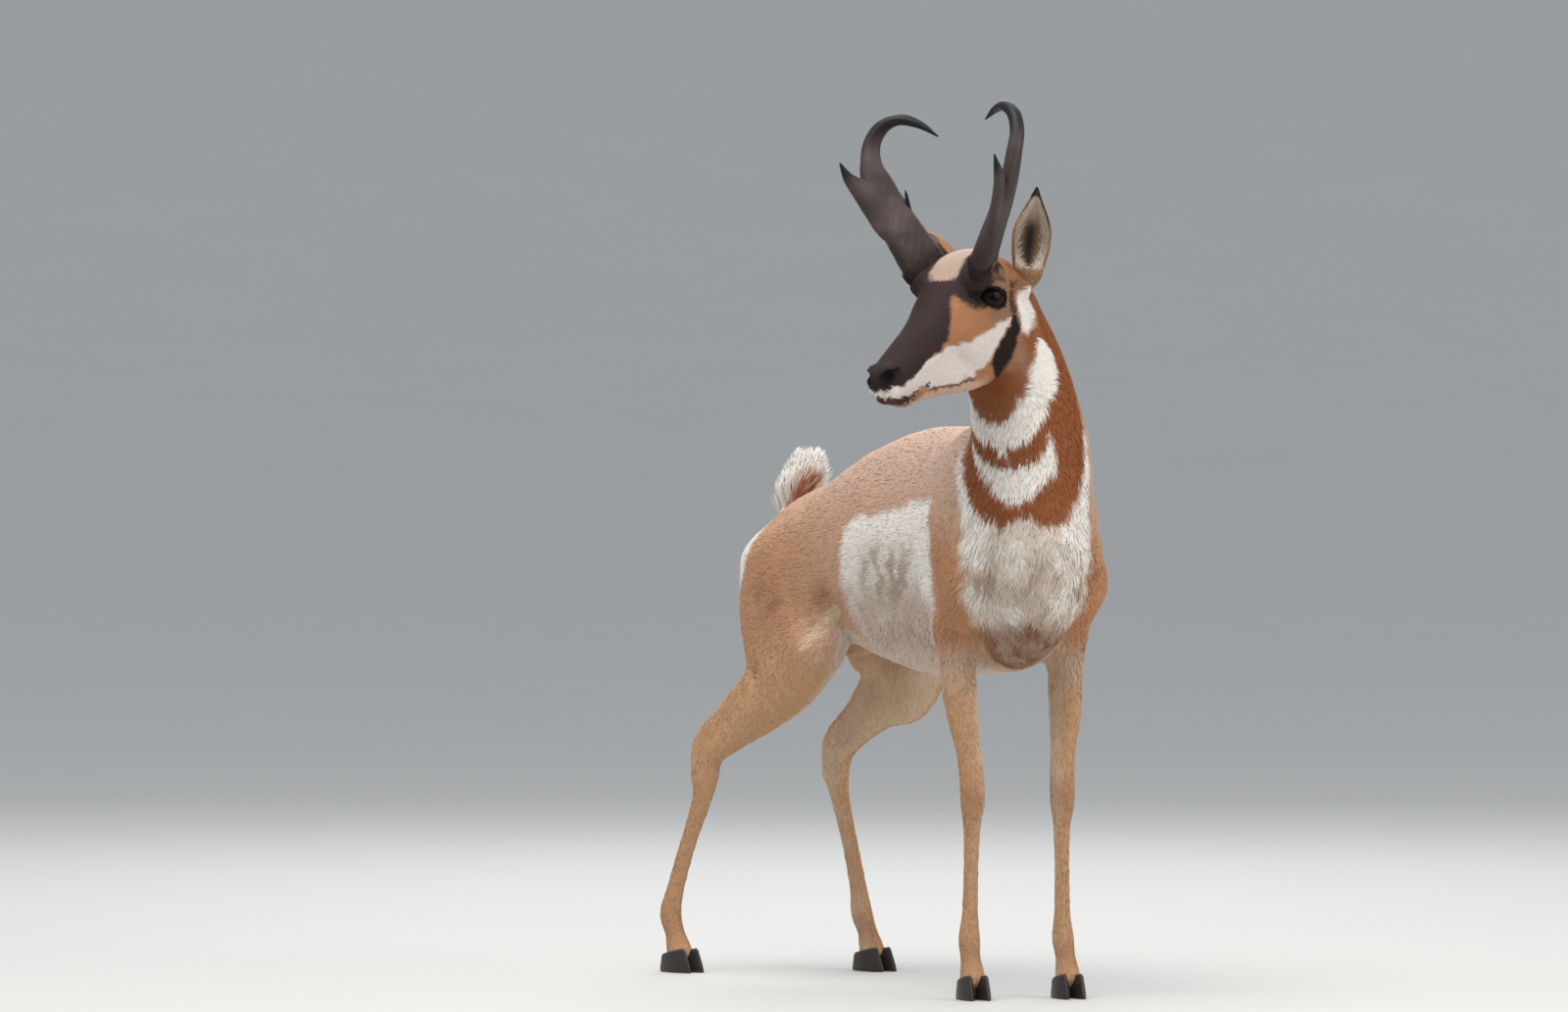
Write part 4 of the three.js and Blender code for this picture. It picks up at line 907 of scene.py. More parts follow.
def face_marks(colour, points):
    """Temples, cheeks and jaw, then the face's outlines, lips, painted shade in the creases round the eyes,
    and the bare dark openings.
    """
    x, degrees = face_measures(points)
    _, left, up = local(SKULL, points).T
    mouth = np.interp(x, MOUTH_FORWARD, MOUTH_LEVEL)
    on_head = smooth((x + 92) * 0.87 + up * 0.5, -30, -18) * smooth(points[:, 2], 880, 900)
    lay(colour, "temple", on_head)
    lay(colour, "nape", on_head * fall(x, -70, -44))
    lay(colour, "cheek", on_head * smooth(x, 0, 30))
    lay(colour, "rust", on_head * fall(x, -60, -40) * smooth(degrees, 105, 125))
    lay(colour, "jaw", on_head * smooth(degrees, 142, 152) * smooth(x, 10, 50))
    lay(colour, "rust", on_head * smooth(degrees, 140, 155) * fall(x, 0, 50))
    lay_outlines(colour, FACE_LAYERS, x, degrees, (1.0, FACE_MM_PER_DEGREE), on_head)
    lay(colour, "white", on_head * smooth(x, 208, 222) * fall(up, -78, -74) * smooth(up - mouth, -3, 0))
    lower_lip = smooth(mouth - up, -1, 1) * smooth(up - mouth, -13, -9)
    lay(colour, "lip", on_head * smooth(x, 165, 190) * lower_lip)
    for name in HANDS:
        out, f, u = eye_measures(name, points)
        arc = np.hypot(f / 37, (u + 2) / 29)
        # Painted shade: dark brown in the crease above each eye and down behind it.
        lay(colour, "crease shade and stripe", (out > 0) * patch_weight((arc, 1, 0.13)) * smooth(u - 0.3 * f, -6, 8) * 0.75)
        lay(colour, "crease shade and stripe", (out > 0) * patch_weight((f, -33, 7), (u, -8, 22)) * 0.6)
    horn_gap = np.hypot((x + 2) / 52, (np.abs(left) - 49) / 27)
    horn_base = (1 - smooth(horn_gap, 0.75, 1.05)) * smooth(up, 12, 30)
    lay(colour, "mask", on_head * horn_base * smooth(x, -50, -20))
    weight, near = np.zeros(len(points)), on_head > 0.01
    weight[near] = dark_openings(points[near])
    lay(colour, "dark", weight)


def markings(points):
    """Linear colour of the coat at each point: the side's, then trunk, neck and face laid over it."""
    shifts = [wave_noise(points, 26, s) * 3.2 + wave_noise(points, 9, s + 50) * 2.2 for s in (1, 2, 3)]
    points = points + np.stack(shifts, axis=1)
    colour = np.tile(COAT["side"], (len(points), 1))
    trunk_marks(colour, points)
    neck_marks(colour, points)
    face_marks(colour, points)
    return colour


# %% [markdown]
# ## From arrays to Blender meshes
#
# One helper turns arrays of points and faces into an object. It moves the points to the frame's
# origin, turns millimetres into metres, and can store a colour for each point. Blender's own
# primitives and modifiers could make simple parts, but a mesh from arrays is the same on every run and
# fast for a million faces.

# %% Mesh helpers


def new_piece(name, points, faces, material, slot, colours=None, spots=None, normals=None):
    """
    Makes a mesh object: each point is moved to the frame's middle, then x 0.001. Faces are rows of
    corner numbers. A tint, a UV place and a normal may be given for each point.
    """
    faces = np.asarray(faces, np.int32)
    mesh = bpy.data.meshes.new(name)
    mesh.vertices.add(len(points))
    mesh.vertices.foreach_set("co", ((points + TO_MIDDLE) * MM).astype(np.float32).ravel())
    mesh.loops.add(faces.size)
    mesh.loops.foreach_set("vertex_index", faces.ravel())
    mesh.polygons.add(len(faces))
    mesh.polygons.foreach_set("loop_start", np.arange(0, faces.size, faces.shape[1], dtype=np.int32))
    mesh.polygons.foreach_set("use_smooth", np.ones(len(faces), bool))
    if colours is not None:
        layer = mesh.color_attributes.new("tint", "FLOAT_COLOR", "POINT")
        full = np.hstack([colours, np.ones((len(colours), 1))])
        layer.data.foreach_set("color", full.astype(np.float32).ravel())
    if spots is not None:
        sheet = mesh.uv_layers.new(name="OFBake").data
        sheet.foreach_set("uv", spots[faces.ravel()].astype(np.float32).ravel())
    mesh.update()
    mesh.validate()
    if normals is not None:
        mesh.normals_split_custom_set_from_vertices(normals.astype(np.float32))
    piece = bpy.data.objects.new(name, mesh)
    bpy.context.scene.collection.objects.link(piece)
    mesh.materials.append(material)
    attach(piece, "root")
    return piece


def grid_faces(rows, columns, wrap=True):
    """Quads of a grid of points: each joins a point to the next in its row and in its column."""
    across = np.arange(columns if wrap else columns - 1)
    r, c = np.meshgrid(np.arange(rows - 1), across, indexing="ij")
    a, b = r * columns + c, r * columns + (c + 1) % columns
    return np.stack([a, b, b + columns, a + columns], axis=-1).reshape(-1, 4)


def closed_tube(rings):
    """Points and triangles of stacked rings, with both ends closed by a fan to the ring's middle."""
    rows, columns = rings.shape[:2]
    quads = grid_faces(rows, columns)
    points = np.vstack([rings.reshape(-1, 3), rings[0].mean(axis=0), rings[-1].mean(axis=0)])
    i = np.arange(columns)
    j, last = (i + 1) % columns, (rows - 1) * columns
    start = np.stack([np.full(columns, rows * columns), j, i], axis=1)
    end = np.stack([np.full(columns, rows * columns + 1), last + i, last + j], axis=1)
    return points, np.vstack([quads[:, [0, 1, 2]], quads[:, [0, 2, 3]], start, end])


def full_turn(count):
    """Angles evenly spaced once round: number / count x a full turn."""
    return np.arange(count) / count * 2 * np.pi


def join_parts(parts):
    """Several lists of points and faces as one, with the face numbers moved on by the points before."""
    starts = np.cumsum([0] + [len(points) for points, _ in parts[:-1]])
    return (np.vstack([points for points, _ in parts]),
            np.vstack([faces + start for (_, faces), start in zip(parts, starts)]))


# %% [markdown]
# ## Shared shader effects
#
# Two effects are used by several finishes, so each is a node group: grain, which varies a colour
# softly at two sizes, and ridges, which gives a bump height that is stretched along one axis. Both
# read object coordinates in metres, so they stay in place on the animal.

# %% Node groups


def new_group(name, inputs, outputs):
    """An empty node group whose sockets are made through its interface."""
    group = bpy.data.node_groups.new(name, "ShaderNodeTree")
    for label, kind, value in inputs:
        socket = group.interface.new_socket(label, in_out="INPUT", socket_type=kind)
        if value is not None:
            socket.default_value = value
    for label, kind in outputs:
        group.interface.new_socket(label, in_out="OUTPUT", socket_type=kind)
    return group, group.nodes.new("NodeGroupInput"), group.nodes.new("NodeGroupOutput")


def add_node(tree, kind, links=None, **values):
    """Adds a node, sets plain values on it, and links sockets into it."""
    node = tree.nodes.new(kind)
    for key, value in values.items():
        if key in node.inputs:
            node.inputs[key].default_value = value
        else:
            setattr(node, key, value)
    for key, socket in (links or {}).items():
        tree.links.new(socket, node.inputs[key])
    return node


grain, grain_in, grain_out = new_group(
    "grain", [("Colour", "NodeSocketColor", None), ("Fine size", "NodeSocketFloat", 300.0),
              ("Broad size", "NodeSocketFloat", 12.0), ("Amount", "NodeSocketFloat", 0.3)],
    [("Colour", "NodeSocketColor"), ("Height", "NodeSocketFloat")])
place_node = add_node(grain, "ShaderNodeTexCoord")
fine, broad = (add_node(grain, "ShaderNodeTexNoise", {"Vector": place_node.outputs["Object"],
                        "Scale": grain_in.outputs[size]}, Detail=detail)
               for size, detail in (("Fine size", 3.0), ("Broad size", 2.0)))
both = add_node(grain, "ShaderNodeMath", {0: fine.outputs["Fac"], 1: broad.outputs["Fac"]}, operation="ADD")
centred = add_node(grain, "ShaderNodeMath", {0: both.outputs[0]}, operation="SUBTRACT")
centred.inputs[1].default_value = 1.0
scaled = add_node(grain, "ShaderNodeMath", {0: centred.outputs[0], 1: grain_in.outputs["Amount"]},
                  operation="MULTIPLY_ADD")
scaled.inputs[2].default_value = 1.0
tinted = add_node(grain, "ShaderNodeVectorMath", {0: grain_in.outputs["Colour"], "Scale": scaled.outputs[0]},
                  operation="SCALE")
grain.links.new(tinted.outputs[0], grain_out.inputs["Colour"])
grain.links.new(fine.outputs["Fac"], grain_out.inputs["Height"])

ridges, ridges_in, ridges_out = new_group(
    "ridges", [("Stretch", "NodeSocketVector", (60.0, 60.0, 700.0))], [("Height", "NodeSocketFloat")])
place_node = add_node(ridges, "ShaderNodeTexCoord")
stretched = add_node(ridges, "ShaderNodeVectorMath", {0: place_node.outputs["Object"],
                     1: ridges_in.outputs["Stretch"]}, operation="MULTIPLY")
ridge_noise = add_node(ridges, "ShaderNodeTexNoise", {"Vector": stretched.outputs[0]}, Scale=1.0, Detail=3.0)
ridges.links.new(ridge_noise.outputs["Fac"], ridges_out.inputs["Height"])


def finish_of(name, colour=None, roughness=0.7, amount=0.25, fine=300.0, broad=12.0, bump=0.0004,
              stretch=None, strength=0.6, **shader_values):
    """A Principled material: a colour or the coat's own, varied by grain, with bump from grain or ridges."""
    material = bpy.data.materials.new(name)
    material.use_nodes = True
    tree = material.node_tree
    shader = tree.nodes["Principled BSDF"]
    shader.inputs["Roughness"].default_value = roughness
    for key, value in shader_values.items():
        shader.inputs[key.replace("_", " ")].default_value = value
    varied = add_node(tree, "ShaderNodeGroup", node_tree=grain,
                      **{"Fine size": fine, "Broad size": broad, "Amount": amount})
    if colour is None:
        own = add_node(tree, "ShaderNodeAttribute", attribute_name="tint")
        tree.links.new(own.outputs["Color"], varied.inputs["Colour"])
    else:
        varied.inputs["Colour"].default_value = (*colour, 1)
    tree.links.new(varied.outputs["Colour"], shader.inputs["Base Color"])
    height = varied.outputs["Height"]
    if stretch is not None:
        height = add_node(tree, "ShaderNodeGroup", node_tree=ridges, Stretch=stretch).outputs["Height"]
    if bump:
        bumped = add_node(tree, "ShaderNodeBump", {"Height": height}, Strength=strength, Distance=bump)
        tree.links.new(bumped.outputs["Normal"], shader.inputs["Normal"])
    return material


# %% [markdown]
# ## The skin
#
# The skin is one mesh for head, neck, trunk and legs, so that no seam shows. It carries the markings as
# a colour on each point, which could also be painted in Blender's vertex paint mode, and is painted
# paler than the coat to lift the shade in the gaps between tufts. Under the tufts it still has to look
# like short fur in every gap, so its bump is fine noise, stretched up and down.

# %% The skin piece
FLESH_NODES = ["head", "neck", "torso", "foreleg_left", "foreleg_right", "hindleg_left", "hindleg_right"]
skin_finish = finish_of("short_coat", roughness=0.85, amount=0.16, fine=520.0, broad=16.0, bump=0.0007,
                        stretch=(300, 300, 100), Specular_IOR_Level=0.2)
# Painted light: the coat's colours are made 1.12 times paler on the skin, up to 0.85, to lift the shadows
# that the tufts cast in their gaps.
brightened_skin_tint = np.minimum(1.12 * markings(skin_points), 0.85)
skin = new_piece("skin", skin_points, skin_quads, skin_finish, "tan_coat", brightened_skin_tint)
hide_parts(*FLESH_NODES)

# %% [markdown]
# ## How the hair lies
#
# Hair on a living animal lies in streams: from the nose to the nape, down the neck, back along the
# trunk and down the legs. Combing by hand with Blender's curve tools would give the same, but a
# direction for each point of the body does it for all sides at once. The longest hair grows on the
# breast, and the shortest on the face and the feet.

# %% Lie, length and width of the tufts
TUFT = {"trunk": (20, 2.35), "neck": (19, 2.2), "breast": (24, 2.8), "leg": (12.5, 2.2), "foot": (8.5, 1.9),
        "head": (7.2, 1.7), "nose": (4.6, 1.3), "fringe": (12, 1.8)}


def coat_regions(points):
    """Weights of the places whose hair differs; the rest is trunk."""
    z, chest_x = points[:, 2], local(CHEST, points)[:, 0]
    angle = throat_angle(points)
    head = head_weight(points)
    neck = smooth(chest_x - (z - 700) * 0.25, -40, 50) * smooth(z, 620, 740) * (1 - head)
    breast = fall(angle, 30, 62) * smooth(chest_x, -10, 60) * fall(z, 690, 770) * smooth(z, 480, 540)
    belly = fall(z, 530, 600) * smooth(z, 430, 470) * smooth(along_body(points), -180, -60) * 0.7
    leg = fall(z, 440, 570) * (1 - np.maximum(breast, belly))
    return {"neck": neck, "breast": np.maximum(breast, belly * (chest_x < 40)), "leg": leg,
            "foot": fall(z, 60, 150), "head": head,
            "nose": head * smooth(local(SKULL, points)[:, 0], 40, 150), "fringe": fall(z, 46, 58)}


def tuft_sizes(points):
    """Length and width of the tufts, each region's blended over the one before by its weight."""
    size = np.tile(np.array(TUFT["trunk"], float), (len(points), 1))
    for name, weight in coat_regions(points).items():
        size += (TUFT[name] - size) * weight[:, None]
    return size


def coat_lie(points, normals):
    """The way that hair points: streams for trunk, neck, legs and head, laid flat on the skin."""
    regions = coat_regions(points)
    share = chest_share(points)[:, None]
    lie = -PELVIS[1][:, 0] * (1 - share) - CHEST[1][:, 0] * share + [0, 0, -0.28]
    down = np.array([-0.12, 0.0, -1.0])
    for name, way in (("neck", unit(np.array([-0.3, 0.12, -1.0]))), ("breast", unit(down)), ("leg", down),
                      ("head", -SKULL[1][:, 0])):
        lie = lie + (way - lie) * regions[name][:, None]
    lie = lie - normals * (lie * normals).sum(axis=1, keepdims=True)
    return unit(lie)


# %% [markdown]
# ## One tuft
#
# A tuft is a closed spindle of five points: a root under the skin, a left and a right point and a
# ridge before its middle, and a tip. That is six triangles, few enough for two hundred thousand tufts.
# Hair particles would be quicker to make, but they aren't a solid mesh. The tuft's points shade with
# the skin's own direction, so that the coat looks soft and not like scales.

# %% Tufts from arrays
TUFT_FACES = np.array([(0, 3, 1), (0, 2, 3), (0, 1, 2), (4, 1, 3), (4, 3, 2), (4, 2, 1)])
ROOT_DEPTH = 1.2


def tufts(roots, tips, knees, across, normals, width):
    """Spindles: sides at the knee +- across x width / 2, and the ridge at the knee + normal x width / 3."""
    half, ridge = across * width[:, None] / 2, normals * width[:, None] / 3
    corners = np.stack([roots, knees - half, knees + half, knees + ridge, tips], axis=1)
    faces = TUFT_FACES[None] + 5 * np.arange(len(roots))[:, None, None]
    return corners.reshape(-1, 3), faces.reshape(-1, 3)


def tuft_normals(normals, across, lie):
    """The skin's normal, leaning a little to each side at the sides and forward at the tip."""
    leans = [-0.1 * lie, -0.3 * across, 0.3 * across, 0 * lie, 0.15 * lie]
    return unit(normals[:, None] + np.stack(leans, axis=1)).reshape(-1, 3)


def tuft_tints(colours, draws):
    """Five tints for each tuft: painted shade at the root and on the sides, painted light at the tip, and
    each tuft a little its own.
    """
    own = 1 + 0.2 * (draws - 0.5)
    # Painted shade and light: the root under the other tufts is darkest, the sides a little darker than the
    # ridge, the tip paler.
    painted_shading = np.array([0.86, 0.97, 0.97, 1.0, 1.06])
    return np.clip(colours[:, None, :] * painted_shading[None, :, None] * own[:, None, None], 0, 1).reshape(-1, 3)


# %% [markdown]
# ## Where each tuft sits on the baking sheet
#
# If the colours are ever baked to a picture, each tuft needs its own small patch. The sheet has nine
# tiles: trunk, neck, head, four legs, ears and tail, and the hair at the horns shares the ears' tile. In
# a tile one way is the height or the measure along the body, and the other is the angle round it, which
# is a simple unwrap of the skin itself.

# %% Baking sheet
PATCH, TILE_EDGE, TILE_ROOM = 0.003, 0.04, 0.92
TUFT_PATCH = PATCH * np.array([(0.0, -0.5), (-0.4, 0.0), (0.4, 0.0), (0.0, 0.1), (0.0, 0.5)])
EAR_TILE, TAIL_TILE = 7, 8


def sheet_spots(tile, u, v, patch=TUFT_PATCH):
    """UV places in a patch for each tuft or lock: the tile's corner + (u, v) shrunk to a third."""
    u, v = (TILE_EDGE + TILE_ROOM * np.clip(share, 0, 1) for share in (u, v))
    spot = np.stack([(tile % 3 + u) / 3, (tile // 3 + v) / 3], axis=1)
    return (spot[:, None, :] + patch).reshape(-1, 2)


def round_share(y, z):
    """An angle as a share of the full turn."""
    return np.arctan2(y, z) / (2 * np.pi) + 0.5


def body_sheet(points, where):
    """Tile and place on it for roots on the skin; where is 0 trunk, 1 neck, 2 head or 3 to 6 for a leg."""
    s, z = along_body(points), points[:, 2]
    spot = local(SKULL, points)
    u, v = (s + 470) / 900, round_share(points[:, 1] + 40, z - 665)
    neck, head = where == 1, where == 2
    x, y = neck_offset(points)
    u, v = np.where(neck, (z - 560) / 500, u), np.where(neck, round_share(y, -x), v)
    u = np.where(head, (spot[:, 0] + 120) / 380, u)
    above = spot[:, 2] + MIDDLE_DROP + MIDDLE_SLANT * spot[:, 0]
    v = np.where(head, round_share(spot[:, 1], above), v)
    for leg, levels in enumerate(leg_middles):
        own = where == leg + 3
        middle = [np.interp(z, levels[:, 2], levels[:, axis]) for axis in (0, 1)]
        u = np.where(own, z / 700, u)
        v = np.where(own, round_share(points[:, 1] - middle[1], points[:, 0] - middle[0]), v)
    return u, v


def leg_of(points):
    """Which leg is nearest, 0 to 3: front or back half of the body, and its left or right side."""
    behind = points[:, 0] < 0
    left = np.where(behind, local(PELVIS, points)[:, 1], local(CHEST, points)[:, 1]) > 0
    return behind * 2 + ~left


LEG_LEVELS = np.arange(40, 720, 40.0)
low_skin = skin_points[skin_points[:, 2] < 720]
leg_middles = []
for leg in range(4):
    own = low_skin[leg_of(low_skin) == leg]
    level = np.digitize(own[:, 2], LEG_LEVELS)
    leg_middles.append(np.array([own[level == n].mean(axis=0) for n in np.unique(level)]))

# %% [markdown]
# ## Growing the coat
#
# Roots are drawn at random over the skin, more of them where tufts are small, from a fixed seed so
# that each run gives the same coat. Bare skin is left out: lids, nostrils, lips, the horns' bases and
# the coronets. The knee and the tip of each tuft are then moved along the skin's slope until
# they lie at their share of the coat's depth, so the coat ends where the CAD solids end.

# %% Roots
COVER = 2.7
EAR_ROOT, EAR_BARE = (-92, 66, 16), 11
TRIANGLES = np.concatenate([skin_quads[:, :3], skin_quads[:, [0, 2, 3]]])


def scatter(corners, weights, count, seed):
    """Random places on triangles: a triangle by its weight, then a point in it by two draws."""
    draws = np.random.default_rng(seed)
    a, b, c = corners[:, 0], corners[:, 1], corners[:, 2]
    pick = draws.choice(len(weights), count, p=weights / weights.sum())
    u, v = draws.random((2, count))
    flip = u + v > 1
    u, v = np.where(flip, 1 - u, u)[:, None], np.where(flip, 1 - v, v)[:, None]
    return a[pick] + (b - a)[pick] * u + (c - a)[pick] * v


def ear_root(hand):
    """Where an ear's middle line leaves the skull."""
    return place(SKULL, (EAR_ROOT[0], hand * EAR_ROOT[1], EAR_ROOT[2]))


def bare_places(points):
    """True where no hair grows: eyes and lids, nostrils, lips, under horns and ears, at the coronets."""
    bare = (dark_openings(points) > 0.35) | (near_line(points, mouth_line, 2.5, 1.5) > 0.5)
    spot = local(SKULL, points)
    for name, hand in HANDS.items():
        horn_gap = np.hypot(spot[:, 0] / 31, (spot[:, 1] - hand * 47) / 15)
        bare |= (horn_gap < 1) & (spot[:, 2] > 10)
        bare |= np.linalg.norm(points - eye_frames[name][0], axis=1) < EYE_RADIUS + 1.0
        bare |= np.linalg.norm(points - ear_root(hand), axis=1) < EAR_BARE
    return bare | (points[:, 2] < CORONET - 5)


corners = skin_points[TRIANGLES]
size = tuft_sizes(corners.mean(axis=1))
chance = 1 / (size[:, 0] * size[:, 1])
area = np.linalg.norm(np.cross(corners[:, 1] - corners[:, 0], corners[:, 2] - corners[:, 0]), axis=1) / 2
roots = scatter(corners, area * chance, int(COVER * 2 * (area * chance).sum()), 5)
roots = roots[~bare_places(roots)]
print(round(area.sum() / 1e6, 2), "square metres of skin;", len(roots), "tufts")

# %% Tufts of the body
TURN_OF_EACH, TURN_OF_STREAM, TURN_ON_BREAST = np.radians([22, 14, 66])
found = look_up(roots, skin_field, *skin_slopes)
normals = unit(found[:, 1:])
draws = np.random.default_rng(6).random((6, len(roots)))
lie = coat_lie(roots, normals)
regions = coat_regions(roots)
ragged = regions["breast"] * smooth(wave_noise(roots, 45, 14), -0.3, 0.4)
turn = TURN_OF_EACH * (draws[0] - 0.5) + TURN_OF_STREAM * wave_noise(roots, 60, 12)
turn += TURN_ON_BREAST * wave_noise(roots, 38, 16) * regions["breast"]
across = np.cross(normals, lie)
lie = lie * np.cos(turn)[:, None] + across * np.sin(turn)[:, None]
across = np.cross(lie, normals)
size = tuft_sizes(roots)
length, width = size[:, 0] * (0.75 + 0.5 * draws[1]), size[:, 1] * (0.8 + 0.4 * draws[2])
depth = coat_depth(roots)
knees = roots + lie * (0.4 * length)[:, None]
tips = roots + lie * length[:, None]
knees = settle(knees, skin_field, skin_slopes, depth * (0.12 + 0.16 * draws[3]), 2, 12)
tips = settle(tips, skin_field, skin_slopes, depth * (0.2 + 0.4 * draws[4] + 1.6 * ragged * draws[5]), 2, 14)
points, faces = tufts(roots - normals * ROOT_DEPTH, tips, knees, across, normals, width)
shade_normals = tuft_normals(normals, across, lie)
tints = tuft_tints(markings(roots), draws[5])
where = np.where(regions["head"] > 0.5, 2, np.where(regions["neck"] > 0.5, 1, 0))
where = np.where((where == 0) & (roots[:, 2] < 560) & (regions["breast"] < 0.4), 3 + leg_of(roots), where)
spots = sheet_spots(where, *body_sheet(roots, where))

# %% Pieces of the coat
MOST_TUFTS = 33000
COAT_SLOTS = {"trunk": "tan_coat", "neck": "rust_coat", "head": "tan_coat", "legs": "tan_coat"}
hair_finish = finish_of("coat_hair", roughness=0.7, amount=0.12, fine=700.0, broad=20.0, bump=0.0002,
                        Specular_IOR_Level=0.2)
groups = {"trunk": where == 0, "neck": where == 1, "head": where == 2, "legs": where > 2}
for name, chosen in groups.items():
    chosen = np.flatnonzero(chosen)
    order = chosen[np.argsort(roots[chosen, 0])]
    for part, own in enumerate(np.array_split(order, -(-len(order) // MOST_TUFTS))):
        rows = (own[:, None] * 5 + np.arange(5)).ravel()
        new_piece(f"coat_{name}_{part + 1}", points[rows], faces[:len(TUFT_FACES) * len(own)], hair_finish,
                  COAT_SLOTS[name], tints[rows], spots[rows], shade_normals[rows])
        print("coat of the", name, part + 1, "has", len(own), "tufts")

# %% [markdown]
# ## Eyes
#
# A pronghorn's eyes are huge and almost black, with a pupil like a wide bar. A plain UV sphere would do
# for the ball, but its poles should look outward and its tint has to know how far a point is from the
# middle of the pupil, so the ball is a grid of turn and tilt round the line of sight.

# %% Eyeballs
IRIS, PUPIL, EYE_WHITE = light(30, 20, 15), light(5, 5, 7), light(40, 30, 26)
EYE_RINGS, EYE_SIDES, POLE_GAP = 40, 64, 0.03
eye_finish = finish_of("wet_eye", roughness=0.1, amount=0.1, fine=900.0, broad=60.0, bump=0,
                       Specular_IOR_Level=0.1)


def eyeball(name):
    """A ball: out = radius x cos(tilt), the rest radius x sin(tilt) round the line of sight."""
    tilts = np.linspace(POLE_GAP, np.pi - POLE_GAP, EYE_RINGS)
    tilt, turn = np.meshgrid(tilts, full_turn(EYE_SIDES), indexing="ij")
    ball = np.stack([np.cos(tilt), np.sin(tilt) * np.cos(-turn), np.sin(tilt) * np.sin(-turn)], axis=-1)
    points, faces = closed_tube(ball * EYE_RADIUS)
    way = points[:, 0] / EYE_RADIUS
    pupil = 1 - smooth(np.hypot(points[:, 1] / 8.5, points[:, 2] / 4.8), 0.85, 1.1)
    iris = smooth(way, 0.62, 0.72)
    tint = EYE_WHITE + (IRIS - EYE_WHITE) * iris[:, None]
    tint = tint + (PUPIL - tint) * (pupil * (way > 0))[:, None]
    return place(eye_frames[name], points), faces, tint


for name in HANDS:
    points, faces, tint = eyeball(name)
    eye = new_piece(f"eyeball_{name}", points, faces, eye_finish, "eye", tint)
    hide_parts(f"eye_{name}")
print("two eyes of", 2 * EYE_RADIUS, "mm")

# %% [markdown]
# ## Lid rims and lashes
#
# A dark, moist rim lines each lid, and long black lashes shade the upper one. A rim is a thin tube round
# the eye's opening. A lash is a tiny tapering tube that bends outward and then down.

# %% Rims and lashes
rim_finish = finish_of("lid_rim", light(24, 17, 16), roughness=0.3, amount=0.3, fine=900.0, bump=0.0002)
lash_finish = finish_of("lashes", light(16, 13, 13), roughness=0.45, amount=0.2, bump=0)
RIM_POINTS, RIM_SIDES, RIM_SIZE = 31, 8, 0.95
LASHES, LASH_LENGTH, LASH_RINGS, LASH_SIDES, LASH_SIZE = 46, 12.5, 5, 3, 0.42


def tube_along(route, sizes, sides, closed=False):
    """Round rings along a curve, square to it: middle + size x (cos turn x a + sin turn x b)."""
    round_steps = np.roll(route, -1, axis=0) - np.roll(route, 1, axis=0)
    along = unit(round_steps if closed else np.gradient(route, axis=0))
    a = unit(np.cross(along, skull_up + 0.3 * skull_side))
    b = np.cross(along, a)
    turn = full_turn(sides)[None, :, None]
    ring = np.cos(turn) * a[:, None] + np.sin(turn) * b[:, None]
    return route[:, None] + ring * np.asarray(sizes)[:, None, None]


def lid_rim(name):
    """A closed ring along the upper lid and back along the lower one."""
    upper, lower = (lid_edge(name, below, RIM_POINTS, EYE_RADIUS + 0.7, 0.4) for below in (False, True))
    route = np.vstack([upper, lower[-2:0:-1]])
    for _ in range(3):
        route = (np.roll(route, 1, axis=0) + 2 * route + np.roll(route, -1, axis=0)) / 4
    points = tube_along(route, np.full(len(route), RIM_SIZE), RIM_SIDES, closed=True).reshape(-1, 3)
    return points, grid_faces(len(route) + 1, RIM_SIDES) % len(points)


def lashes(name, hand):
    """Lashes along the upper lid: root + start x t + bend x t squared, out of the lid and then down."""
    draws = np.random.default_rng(20 + hand).random((3, LASHES))
    edge = lid_edge(name, False, LASHES + 8, EYE_RADIUS + 1.8, spread=1.0)[4:-4]
    fan = np.linspace(-1, 1, LASHES) + 0.15 * (draws[0] - 0.5)
    matrix = eye_frames[name][1]
    out, side, up = matrix[:, 0], -hand * matrix[:, 1], matrix[:, 2]
    parts = []
    for root, way, long, lift in zip(edge, fan, LASH_LENGTH * (0.75 + 0.4 * draws[1]), draws[2]):
        t = np.linspace(0, 1, LASH_RINGS)[:, None]
        start = unit(out + 0.5 * way * side + (0.3 + 0.3 * lift) * up)
        bend = 0.25 * way * side - 0.75 * up + 0.2 * out
        route = root - start + (start * t + bend * t * t * 0.6) * long
        parts.append(closed_tube(tube_along(route, LASH_SIZE * (1.05 - t[:, 0]), LASH_SIDES)))
    return join_parts(parts)


for name, hand in HANDS.items():
    new_piece(f"lid_rim_{name}", *lid_rim(name), rim_finish, "eye")
    new_piece(f"lashes_{name}", *lashes(name, hand), lash_finish, "eye")
print(LASHES, "lashes on each upper lid")

# %% [markdown]
# ## Horns
#
# A pronghorn's horn is a flat blade of fused hair over a bone core, rough and pitted low down, with one
# prong in front, and polished black at the hooked tip. It is a stack of oval rings along a smooth
# curve, as the CAD solid is, with more rings, and ridges that run up the blade and fade at the tips.

